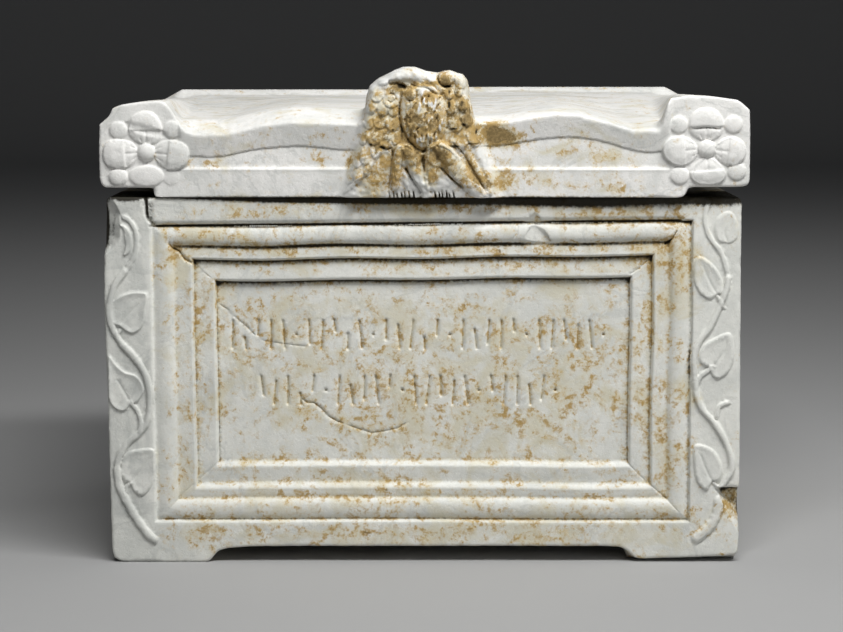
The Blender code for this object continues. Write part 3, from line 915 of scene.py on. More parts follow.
@dataclass(frozen=True)
class Rosette(Group):
    """A flower of four broad petals round a knob, with a low boss between each pair of petals.

    A petal named as plain is a smooth swelling, worn down to less than the others.
    """

    knob: Pair
    petals: tuple[Line, ...]
    bosses: Rows
    proud: float = 1.5
    step_from_knob: float = 12.4
    plain: int = -1
    step_sink: float = 0.75
    knob_radius: float = 5.1
    knob_rise: float = 2.7
    ray_lean: float = 0.42

    def forms(self) -> list[Carving]:
        """The rosette's lobes and cuts, in carving order.

        Returns:
            Each form as a carving of its own.
        """
        centre = np.asarray(self.knob)
        made: list[Carving] = [
            Lobe((x, z), (4.6 + 0.5 * proud, 5.0), proud, fullness=0.4) for x, z, proud in self.bosses
        ]
        for index, petal in enumerate(self.petals):
            if index == self.plain:
                middle = np.mean(petal, axis=0)
                made.append(Lobe(tuple(middle), tuple(np.ptp(petal, axis=0) / 2 + 0.4), 1.5, fullness=0.3))
                continue
            out = np.mean(petal, axis=0) - centre
            out = out / np.linalg.norm(out)
            rib = (tuple(centre + out * 4.6), tuple(centre + out * 12.0))
            step = (tuple(centre), self.step_from_knob, self.step_sink)
            made.append(Leaf(petal, rib, self.proud, -0.9, 5.0, step))
            for lean in (-self.ray_lean, self.ray_lean):
                cosine, sine = math.cos(lean), math.sin(lean)
                ray = np.array((out[0] * cosine - out[1] * sine, out[0] * sine + out[1] * cosine))
                made.append(Furrow((tuple(centre + ray * 5.4), tuple(centre + ray * 10.0)), 0.7, 0.2))
        made.append(Lobe(self.knob, (self.knob_radius, self.knob_radius), self.knob_rise, base=0.3))
        return made

    def cut(self, points: Array, depth: Array) -> Array:
        """Carves every form.

        Args:
            points: the places.
            depth: the depth there so far.

        Returns:
            The new depth.
        """
        chosen = near(points, np.vstack(self.petals), 6.0)
        result = depth.copy()
        result[chosen] = super().cut(points[chosen], result[chosen])
        return result


@dataclass(frozen=True)
class Eagle(Group):
    """The worn eagle in the middle of the lid: breast, folded wings, spread thighs and talons."""

    outline: Line = (
        (-52, 196), (-48.4, 214), (-46, 224), (-44.6, 231.7), (-41.4, 244.7), (-37.4, 255), (-34.7, 261.2),
        (-33, 269.3), (-31, 276.3), (-25.8, 280.8), (-20.6, 283.4), (-16.1, 286), (-11.6, 288.5), (-5.1, 289),
        (0.7, 288), (7.8, 287.5), (14.9, 287.5), (18.8, 285.7), (22.1, 284.6), (24.7, 281.3), (25.7, 275.7),
        (27.2, 267.3), (30.6, 256.3), (35.2, 246), (40.4, 234.4), (43.8, 224), (46, 214), (48, 196),
    )
    mound: Line = (
        (212, 2.8), (222, 4.3), (238, 5.6), (255, 6.8), (270, 7.4), (289, 5.6),
    )
    crown: float = 4.5
    flank: float = 8.0
    left_wing: Rows = (
        (-18.2, 269.6, 4.6, 4.8), (-26.4, 271.4, 3.4, 3.6), (-29.4, 265.2, 2.6, 4), (-23, 264, 3.2, 3.8),
        (-17, 263.6, 3, 3.8), (-30.8, 256.9, 3, 4.4), (-24.5, 257.2, 3.8, 4.4), (-17.4, 256.4, 4, 4.8),
        (-28.2, 248.8, 4.4, 4.8), (-34.2, 247.6, 2.4, 4), (-21.4, 247.6, 3.6, 5.6), (-15.6, 247.4, 2.4, 3.6),
        (-27, 240.6, 2.6, 4.4), (-32.5, 237.6, 3.4, 5), (-37.4, 236, 3, 5), (-31.8, 230.6, 2.4, 4),
        (-42, 232.6, 2, 3.2), (-37.6, 227.4, 2.8, 4.4), (-42.6, 224.2, 2, 3.2),
    )
    right_wing: Rows = (
        (14, 272.4, 2.5, 3.1), (19.4, 273.4, 2.1, 2.8), (14.6, 265.4, 2.7, 4.5), (21.4, 266.8, 3.3, 4.2),
        (17.8, 256.6, 3.9, 5.5), (24, 259.4, 3.4, 5.2), (20, 246.6, 5.2, 4.9), (28.6, 248.8, 4.4, 5.8),
    )
    claw_gaps: tuple[float, ...] = (
        -19.6, -17.2, -15.2, -12.6, -10.9, -8.4, -5.8, 6.4, 8.8, 10.4, 12.9, 14.6, 16.9,
    )
    thigh_strokes: Rows = (
        (-16.8, 226, 0.6), (-5, 227, -1.8), (5, 226, -0.6), (19.6, 229, -3), (1.6, 236, 0.9),
        (-8.6, 236.8, -1.6), (12.4, 236.6, -2.2),
    )
    flecks: int = 64
    breast: tuple[Pair, Pair] = ((0.0, 257.6), (12.4, 17.0))
    most_proud: float = 11.8
    grains: tuple[tuple[Grain, float], ...] = ((Grain(1.9, 31), 0.34), (Grain(5.5, 32), 0.5))

    def forms(self) -> list[Carving]:
        """The eagle's swellings and cuts, in carving order.

        Returns:
            Each form as a carving of its own.
        """
        made: list[Carving] = [
            Lobe((-0.3, 258.6), (13.3, 18.8), 4.4, over=False),
            Ridge(((-24, 279), (-14, 282.5), (-4, 283), (4, 280.4), (9, 274.5)), 8, 2.2, 0.3),
            Ridge(((-4.6, 278.6), (1.6, 277), (7, 272.6)), 2.8, 0.9, 0.4),
            Lobe((12.8, 281.4), (5, 4.6), 1.9, over=False),
            Lobe((21, 279.6), (3.9, 5.2), 1.4, over=False),
            Lobe((-8.8, 237.4), (8.2, 6.6), 1.3, 0, 0.45, over=False),
            Lobe((9.6, 237.6), (9.2, 7.4), 1.4, 0, 0.45, over=False),
            Ridge(((-13.6, 241.6), (-15, 236), (-15.8, 229), (-16.6, 219)), 5.4, 2.8, 0.2),
            Ridge(((-9.6, 241), (-6.8, 235.6), (-4.6, 229.4), (-1.6, 221.8), (1, 214.8)), 8.6, 3, 0.35),
            Ridge(((5.6, 240.6), (4, 236), (3.6, 229), (3.2, 219)), 6.6, 2.6, 0.3),
            Ridge(((9, 242.4), (15, 234.8), (20.2, 227.5), (27.7, 219.2), (33, 214.4)), 10.4, 3.2, 0.3),
            Ridge(((24.6, 239), (28.4, 231.4), (32.6, 223.6), (37.2, 215.6)), 4.4, 1.2, 0.4),
            Ridge(((-24.4, 239), (-28.2, 234.8), (-31.4, 229.6), (-37.4, 223), (-45.6, 215.6)), 2.6, 1.2, 0.3),
            Ridge(((-10.8, 227.4), (-10.4, 223.6), (-9.8, 218.6)), 3.2, 1.1, 0.3),
            Ridge(((-17, 237.6), (-14.6, 242.2), (-9.6, 243.4), (-5.4, 240.6)), 2.2, 1, 0.3),
            Ridge(((0.6, 235.6), (3.4, 241.4), (9, 243.6), (14.8, 240.8), (20.4, 235)), 2.2, 1, 0.3),
        ]
        for x, z, half_width, half_height in self.left_wing:
            radii = (1.12 * half_width, 1.2 * half_height)
            made.append(Lobe((x, z), radii, 0.75, 10.0, 0.3, over=False, lean=0.95))
        for x, z, half_width, half_height in self.right_wing:
            radii = (1.08 * half_width, 1.15 * half_height)
            made.append(Lobe((x, z), radii, 1.15, -10.0, 0.32, over=False, lean=0.9))
        for x in self.claw_gaps:
            top = 215.0 + 0.9 * math.sin(5.0 * x)
            made.append(Furrow(((x - 0.5, top + 1.5), (x, top - 1.0), (x + 0.3, 212.0)), 1.3, 1.3, step=0.7))
        made += [
            Furrow(((-20.6, 277.6), (-16, 278.2), (-12.6, 276.6), (-9.8, 274.4)), 3.2, 2.6, True),
            Furrow(((-12.2, 273.6), (-13.8, 265), (-13.6, 257.6), (-12, 251.6), (-8.2, 245), (-2, 239.4)), 2.2, 2.2,
                True),
            Furrow(((-8.6, 277.6), (-3.4, 275.6), (2.4, 274.6), (7.4, 270.8)), 1.5, 0.9, True),
            Furrow(((-11.2, 230.8), (-7.8, 225.1), (-4.6, 220.4), (-0.9, 214.6)), 2.2, 2.1, True),
            Furrow(((8.6, 231.4), (12, 227.5), (16.4, 223.3), (23.4, 218)), 2.4, 2.3, True),
            Furrow(((14.6, 245.4), (19.6, 241.3), (22, 238.2), (26.6, 230.8), (31, 223.4), (35.6, 215.4)), 1.5, 1.3,
                True),
            Furrow(((-3.6, 241.8), (-1, 239.6), (1.6, 241.4)), 2.4, 1.8, True),
            Furrow(((-17.4, 241), (-18.4, 233), (-19.2, 224), (-20.2, 216)), 1.5, 1.2, True),
            Furrow(((-0.6, 238), (-0.2, 230), (0.6, 221)), 4.4, 1.6, True),
            Furrow(((7.4, 283), (8, 279.2), (10.8, 276), (15.6, 276)), 2.2, 2.1, True),
            Furrow(((-24.6, 242.6), (-21.6, 240.6), (-18, 241.4)), 1.6, 1.4, True),
            Furrow(((24.6, 269.6), (26, 262.4), (28.6, 256.2)), 1.4, 1.3, True),
            Lobe((-7.8, 271.7), (3, 3.2), 1.7, over=False),
            Furrow(((-4.6, 274.6), (-4.4, 270.2), (-7, 268), (-10.6, 268.6)), 1.2, 1, True),
            Furrow(((-21, 268.6), (-18.6, 267), (-15.8, 269.2), (-17.4, 271.8), (-19.8, 271.2)), 0.9, 0.8, True),
        ]
        for index, (x, z, lean) in enumerate(self.plumes()):
            line = ((x - lean, z + 2.0), (x, z + 0.4), (x + lean, z - 2.0))
            made.append(Ridge(line, 1.7, 0.9, 0.4) if index % 2 else Furrow(line, 1.5, 1.15, step=0.8))
        for x, z, lean in self.thigh_strokes:
            made.append(Furrow(((x - lean, z + 4.4), (x + lean, z - 4.4)), 0.9, 0.5, step=0.8))
        return made

    def plumes(self) -> list[Triple]:
        """Strews small feather strokes over the breast.

        Returns:
            x, z and lean of each.
        """
        draw = np.random.default_rng(8).uniform(0.0, 1.0, (self.flecks, 3))
        far, turn = np.sqrt(0.85 * draw[:, 0]), 2 * math.pi * draw[:, 1]
        (x, z), (half_width, half_height) = self.breast
        across, up = x + half_width * far * np.cos(turn), z + half_height * far * np.sin(turn)
        return [tuple(place) for place in np.stack([across, up, 1.9 * draw[:, 2] - 1.5]).T]

    def stains(self) -> list["Soil"]:
        """The ochre crust that is left on the breast, the fan, the thighs and each feather.

        Returns:
            The patches of crust, and the clean feather strokes as patches below zero.
        """
        wings = self.left_wing + self.right_wing
        made = [Soil((x, z + 0.4), (0.95 * wide, 0.95 * high), 0.9) for x, z, wide, high in wings]
        made.append(Soil((-3.0, 255.0), (26.0, 20.0), 0.5))
        made += [Soil((x, z), (0.7, 1.8), -1.1) for x, z, _ in self.plumes()[1::2]]
        return made + patches(
            (-7, 254, 5, 12, 1.5), (5, 253, 8, 12, 1.35), (-24, 249, 8, 9, 0.6), (4, 270, 8, 5, 1.1),
            (-8, 272, 3.6, 4, 1.3), (-28, 221, 12, 9, 1.3), (-22, 233, 4, 6, 1.3), (-10.4, 238.6, 6, 4.6, 1.4),
            (-15.6, 228, 3, 9, 1.2), (-5, 231, 4.6, 8, 1.1), (8, 238, 6.6, 4.6, 1.6), (5, 227, 4.4, 8, 1.4),
            (14.6, 232.6, 4.4, 5.6, 1.3), (22, 226, 6, 7, 0.8), (26.4, 232, 4.4, 8, 1.2), (32, 225, 4, 7, 0.8),
            (2, 277.4, 6, 1.6, 1.6), (11.6, 279.6, 4.4, 4.8, 2), (24, 257.6, 5, 14, 0.9), (18, 270, 3, 5, 0.9),
            (-14, 275.6, 6, 2.6, 1.8),
        )

    def soil_and_shade_spots(self) -> list["Soil"]:
        """Dark dirt and painted shade that are left in its deepest hollows and between its claws.

        Returns:
            The patches of dirt and painted shade.
        """
        return patches(
            (-13.6, 275.8, 3, 1.2, 0.9), (-12.6, 250, 1, 5, 0.5), (8.4, 279, 1, 2.4, 0.35),
            (12.6, 276.2, 3, 1, 0.4), (14.2, 272.6, 0.9, 1.7, 0.9), (14.2, 265.6, 1, 2.6, 1),
            (21.3, 266.1, 2, 3, 0.75), (18.6, 272.8, 1.6, 2.2, 0.6), (17, 252.2, 3, 0.9, 0.9),
            (22.6, 254.6, 2.6, 0.9, 0.9), (25.6, 261.6, 0.8, 3.6, 0.6), (29.4, 250.4, 0.8, 2.4, 0.8),
            (28.8, 243.8, 3.6, 0.9, 1), (17.6, 242.4, 3.2, 0.9, 1), (-30, 243.4, 1.2, 1, 0.8),
            (-23.4, 241.8, 2.4, 1, 1), (-17.6, 251.6, 1.4, 0.9, 0.8), (-25, 252.6, 1.2, 0.9, 0.6),
            (5.4, 235.4, 3.4, 1, 0.5),
        ) + [
            Soil((x, 214.4), (0.6, 1.4 + 0.6 * math.sin(5.0 * x)), 0.66 + 0.24 * math.sin(3.0 * x))
            for x in self.claw_gaps
        ]

    def guides(self) -> Array:
        """Points for every form, and a close grid over the whole bird."""
        x, z = np.meshgrid(np.arange(-46.0, 46.0, 0.75), np.arange(213.6, 287.0, 0.75))
        return np.vstack([super().guides(), np.stack([x.ravel(), z.ravel()], axis=1)])

    def cut(self, points: Array, depth: Array) -> Array:
        """Leaves the bird standing in front of the lid.

        Args:
            points: the places.
            depth: the depth there so far.

        Returns:
            The new depth.
        """
        ring = np.asarray(self.outline)
        chosen = near(points, ring, 4.0)
        places, ground = points[chosen], depth[chosen]
        signed = depth_inside(places, ring)
        heights = np.asarray(self.mound)
        stone = super().cut(places, -np.interp(places[:, 1], heights[:, 0], heights[:, 1]))
        stone += sum(much * grain.at(places) for grain, much in self.grains)
        round_rise = np.sqrt(unit(1 - (1 - unit(signed / self.crown)) ** 2))
        rise = blend(ease(signed / self.flank), round_rise, ease((places[:, 1] - 246.0) / 20.0))
        result = depth.copy()
        result[chosen] = np.where(signed > 0, np.minimum(blend(ground, stone, rise), ground), ground)
        return np.maximum(result, -self.most_proud)


@dataclass(frozen=True)
class Soil:
    """A soft patch for stains, dirt and painted shade, as an ellipse with its own turn and strength."""

    middle: Pair
    radii: Pair
    strength: float
    turn: float = 0.0

    def at(self, points: Array) -> Array:
        """How strong the patch is at these points."""
        offset = Lobe(self.middle, self.radii, 1.0, self.turn).local(points)
        return self.strength * np.exp(-np.sum(offset ** 2, axis=1) * 1.1)


def patches(*rows: tuple[float, ...]) -> list[Soil]:
    """Patches from rows of x, z, half width, half height, strength and, for some, turn."""
    return [Soil((x, z), (wide, high), strength, *turn) for x, z, wide, high, strength, *turn in rows]


class Shell:
    """Collects the vertices, faces and soiling of one piece, in millimetres."""

    def __init__(self) -> None:
        """Starts empty."""
        self.places: list[Array] = []
        self.soils: list[Array] = []
        self.faces: list[tuple[int, ...]] = []
        self.flat: set[int] = set()
        self.count = 0

    def add(self, places: Array, soils: Array | None = None) -> int:
        """Adds vertices.

        Args:
            places: x, y and z of each.
            soils: ochre, grime with painted shade, and streak of each, or nothing where they are clean.

        Returns:
            The index of the first.
        """
        start = self.count
        self.places.append(places)
        self.soils.append(np.zeros((len(places), 3)) if soils is None else soils)
        self.count += len(places)
        return start

    def bridge(self, front: list[int], back: list[int], skip: frozenset[int] = frozenset()) -> None:
        """Joins two closed rows of vertices with quads.

        Args:
            front: one row.
            back: the other row, as long.
            skip: the places in the row to leave open.
        """
        for index in range(len(front)):
            if index not in skip:
                after = (index + 1) % len(front)
                self.faces.append((front[index], back[index], back[after], front[after]))

    def cap(self, corners: list[int]) -> None:
        """Closes an opening with one flat face."""
        self.flat.add(len(self.faces))
        self.faces.append(tuple(corners))

    def build(self, name: str) -> bpy.types.Object:
        """Makes the piece.

        Args:
            name: the piece's name.

        Returns:
            The object, in metres, with its vertices welded and its faces turned out.
        """
        mesh = bpy.data.meshes.new(name)
        places = np.vstack(self.places) * MM
        mesh.from_pydata(places.tolist(), [], self.faces)
        soils = np.vstack(self.soils)
        for column, label in enumerate(("ochre", "grime_and_shade", "streak")):
            layer = mesh.attributes.new(label, "FLOAT", "POINT")
            layer.data.foreach_set("value", soils[:, column].astype(np.float32))
        smooth = np.ones(len(self.faces), bool)
        smooth[list(self.flat)] = False
        mesh.polygons.foreach_set("use_smooth", smooth)
        work = bmesh.new()
        work.from_mesh(mesh)
        bmesh.ops.remove_doubles(work, verts=work.verts, dist=0.00002)
        bmesh.ops.dissolve_degenerate(work, edges=work.edges, dist=0.000001)
        bmesh.ops.triangulate(work, faces=[face for face in work.faces if len(face.verts) > 4])
        bmesh.ops.recalc_face_normals(work, faces=work.faces)
        work.to_mesh(mesh)
        work.free()
        piece = bpy.data.objects.new(name, mesh)
        bpy.context.scene.collection.objects.link(piece)
        return piece


@dataclass(frozen=True)
class MarbleFinish:
    """Weathered white marble: cloudy grey veins, tan and brown stains, dirt and painted shade in hollows, worn
    edges.
    """

    name: str
    pale: Triple = (0.74, 0.74, 0.69)
    cloud: Triple = (0.50, 0.515, 0.485)
    vein: Triple = (0.40, 0.415, 0.395)
    wash: Triple = (0.60, 0.555, 0.40)
    tan: Triple = (0.575, 0.42, 0.165)
    ochre: Triple = (0.38, 0.235, 0.058)
    brown: Triple = (0.15, 0.11, 0.048)
    # The dark colour of dirt and of painted shade.
    dirt_and_shade: Triple = (0.018, 0.015, 0.009)
    streak: Triple = (0.33, 0.29, 0.20)
    speck: Triple = (0.30, 0.25, 0.17)
    crystal: Triple = (0.42, 0.41, 0.35)
    roughness: Pair = (0.46, 0.78)
    bump: Pair = (0.45, 0.0009)

    def build(self) -> bpy.types.Material:
        """Builds the material.

        Returns:
            The finished material.
        """
        material = bpy.data.materials.new(self.name)
        material.use_nodes = True
        tree = material.node_tree
        shader = tree.nodes["Principled BSDF"]
        shader.inputs["IOR"].default_value = 1.46
        paint = Paint(tree)
        mix, times, total, ramp, noise = paint.mix, paint.times, paint.sum, paint.ramp, paint.noise
        soil, grime_and_shade = paint.attribute("ochre"), paint.attribute("grime_and_shade")
        hollow, worn = ramp(grime_and_shade, 0.02, 0.55), ramp(grime_and_shade, -0.05, -0.55)
        fine = noise(620.0, 4.0, 0.65, 0.0)
        patches = noise(78.0, 10.0, 0.70, 0.5)
        spots = noise(150.0, 9.0, 0.74, 0.3)
        lodged = total(times(soil, 0.16), times(hollow, 0.05), times(worn, -0.05))
        flecks = noise(240.0, 6.0, 0.68, 0.1)
        grit = ramp(noise(760.0, 3.0, 0.6, 0.0), 0.40, 0.60)
        colour = self.stone_colour(paint, fine)
        greyed = total(times(ramp(noise(38.0, 8.0, 0.66, 0.6), 0.42, 0.60), 0.45), 0.12)
        colour = mix(times(ramp(soil, -0.55, -1.0), greyed), colour, self.vein)
        wash = ramp(total(noise(46.0, 7.0, 0.62, 0.8), times(lodged, 1.35)), 0.50, 0.74)
        colour = mix(times(wash, 0.70), colour, self.wash)
        cluster = ramp(total(patches, lodged), 0.495, 0.65)
        tan_field = ramp(total(flecks, times(lodged, 0.6)), 0.44, 0.62)
        tan_mask = times(times(cluster, tan_field), total(times(grit, 0.5), 0.5))
        colour = mix(times(tan_mask, 0.80), colour, self.tan)
        rough_edge = times(grit, 0.05)
        ochre_field = total(flecks, times(spots, 0.7), times(lodged, 0.8), rough_edge)
        ochre_mask = times(cluster, ramp(ochre_field, 0.93, 1.05))
        colour = mix(times(ochre_mask, 0.80), colour, self.ochre)
        brown_field = total(patches, times(spots, 0.5), times(lodged, 1.1), rough_edge)
        brown_share = total(times(grit, 0.3), 0.42)
        brown_mask = times(ramp(brown_field, 1.01, 1.10), brown_share)
        colour = mix(brown_mask, colour, self.brown)
        streak_mask = times(ramp(paint.streaks(), 0.55, 0.68), paint.attribute("streak"))
        colour = mix(times(streak_mask, 0.58), colour, self.streak)
        # Dark dirt and painted shade where the grime-and-shade attribute is high, with less sheen there.
        crust_and_shade = ramp(total(grime_and_shade, times(total(fine, -0.5), 0.8)), 0.22, 0.75)
        colour = mix(times(crust_and_shade, 0.97), colour, self.dirt_and_shade)
        tree.links.new(total(times(crust_and_shade, -0.42), 0.5), shader.inputs["Specular IOR Level"])
        specks = ramp(noise(900.0, 3.0, 0.6, 0.0), 0.665, 0.72)
        colour = mix(times(specks, 0.35), colour, self.speck)
        tree.links.new(colour, shader.inputs["Base Color"])
        span = self.roughness[1] - self.roughness[0]
        dull = total(times(fine, 0.8), times(tan_mask, 0.5), times(worn, -0.3))
        dull = ramp(dull, 0.2, 0.9)
        tree.links.new(total(times(dull, span), self.roughness[0]), shader.inputs["Roughness"])
        tree.links.new(self.relief(paint, tan_mask, fine), shader.inputs["Normal"])
        return material

    def stone_colour(self, paint: "Paint", fine: Socket) -> Socket:
        """Paints the clean stone, with soft clouds, thin veins and crystal mottling.

        Args:
            paint: the brush to add nodes with.
            fine: the finest noise.

        Returns:
            The stone's colour.
        """
        mix, times, total, ramp, noise = paint.mix, paint.times, paint.sum, paint.ramp, paint.noise
        clouds = ramp(noise(17.0, 8.0, 0.62, 1.0), 0.42, 0.68)
        colour = mix(times(clouds, 0.42), self.pale, self.cloud)
        band = paint.math("ABSOLUTE", total(noise(9.0, 7.0, 0.58, 1.8), -0.5))
        colour = mix(times(ramp(band, 0.022, 0.0), 0.32), colour, self.vein)
        mottle = ramp(noise(190.0, 6.0, 0.7, 0.0), 0.42, 0.66)
        colour = mix(times(mottle, 0.24), colour, self.cloud)
        return mix(times(ramp(fine, 0.5, 0.7), 0.16), colour, self.crystal)

    def relief(self, paint: "Paint", stained: Socket, fine: Socket) -> Socket:
        """Roughens the surface with chisel waves, weathered grain, pits and a thin crust.

        Args:
            paint: the brush to add nodes with.
            stained: where the crust is.
            fine: the finest noise.

        Returns:
            The surface's normal.
        """
        times, total, ramp, noise = paint.times, paint.sum, paint.ramp, paint.noise
        waves = times(noise(60.0, 5.0, 0.62, 0.4), 0.95)
        pits = times(ramp(noise(330.0, 5.0, 0.66, 0.0), 0.36, 0.50), 0.16)
        height = total(waves, times(fine, 0.22), pits, times(stained, 0.05))
        bump = paint.tree.nodes.new("ShaderNodeBump")
        bump.inputs["Strength"].default_value, bump.inputs["Distance"].default_value = self.bump
        paint.tree.links.new(height, bump.inputs["Height"])
        return bump.outputs["Normal"]


class Paint:
    """Short ways to add the nodes that a finish needs."""

    def __init__(self, tree: bpy.types.NodeTree) -> None:
        """Starts on a node tree, with the object's own coordinates."""
        self.tree = tree
        self.place = tree.nodes.new("ShaderNodeTexCoord").outputs["Object"]

    def feed(self, socket: Socket, value: object) -> None:
        """Links a socket into another, or sets a plain value on it.

        Args:
            socket: the input to feed.
            value: a socket, a colour of three numbers, or a number.
        """
        if isinstance(value, Socket):
            self.tree.links.new(value, socket)
        elif isinstance(value, tuple):
            socket.default_value = (*value, 1.0)
        else:
            socket.default_value = value

    def attribute(self, label: str) -> Socket:
        """Reads what each vertex carries.

        Args:
            label: the attribute's name.

        Returns:
            Its value.
        """
        node = self.tree.nodes.new("ShaderNodeAttribute")
        node.attribute_name = label
        return node.outputs["Fac"]

    def noise(
        self, scale: float, detail: float, roughness: float, distortion: float, place: Socket | None = None
    ) -> Socket:
        """Adds cloudy noise.

        Args:
            scale: how many clouds there are to a metre.
            detail: how many finer layers it has.
            roughness: how strong the finer layers are.
            distortion: how far it is stirred.
            place: the coordinates, or nothing for the object's own.

        Returns:
            The noise, around one half.
        """
        node = self.tree.nodes.new("ShaderNodeTexNoise")
        settings = {"Scale": scale, "Detail": detail, "Roughness": roughness, "Distortion": distortion}
        for label, value in settings.items():
            node.inputs[label].default_value = value
        self.tree.links.new(place or self.place, node.inputs["Vector"])
        return node.outputs["Fac"]

    def streaks(self) -> Socket:
        """Adds noise drawn out along x, as the saw and the rain leave it on the roof.

        Returns:
            The noise, around one half.
        """
        stretch = self.tree.nodes.new("ShaderNodeMapping")
        stretch.inputs["Scale"].default_value = (13.0, 120.0, 6.0)
        self.tree.links.new(self.place, stretch.inputs["Vector"])
        return self.noise(1.0, 6.0, 0.65, 0.6, stretch.outputs["Vector"])

    def math(self, operation: str, first: object, second: object = 0.0) -> Socket:
        """Works something out from two sockets or numbers.

        Args:
            operation: the sum to do.
            first: its first term.
            second: its second term, where it has one.

        Returns:
            The result.
        """
        node = self.tree.nodes.new("ShaderNodeMath")
        node.operation = operation
        self.feed(node.inputs[0], first)
        self.feed(node.inputs[1], second)
        return node.outputs[0]

    def times(self, first: object, second: object) -> Socket:
        """The product of two sockets or numbers."""
        return self.math("MULTIPLY", first, second)

    def sum(self, *terms: object) -> Socket:
        """Adds sockets or numbers up.

        Args:
            terms: what is added, a socket first.

        Returns:
            The sum.
        """
        total = terms[0]
        for term in terms[1:]:
            total = self.math("ADD", total, term)
        return total

    def ramp(self, value: Socket, low: float, high: float) -> Socket:
        """Turns a value into a soft step.

        Args:
            value: what the step follows.
            low: where the step is 0.
            high: where the step is 1.

        Returns:
            The step.
        """
        node = self.tree.nodes.new("ShaderNodeMapRange")
        node.interpolation_type = "SMOOTHSTEP"
        node.inputs["From Min"].default_value = low
        node.inputs["From Max"].default_value = high
        self.tree.links.new(value, node.inputs["Value"])
        return node.outputs["Result"]

    def mix(self, part: object, low: object, high: object) -> Socket:
        """Mixes two colours.

        Args:
            part: how much of the second one there is.
            low: the first colour.
            high: the second colour.

        Returns:
            The mixed colour.
        """
        node = self.tree.nodes.new("ShaderNodeMix")
        node.data_type = "RGBA"
        self.feed(node.inputs["Factor"], part)
        self.feed(node.inputs["A"], low)
        self.feed(node.inputs["B"], high)
        return node.outputs["Result"]


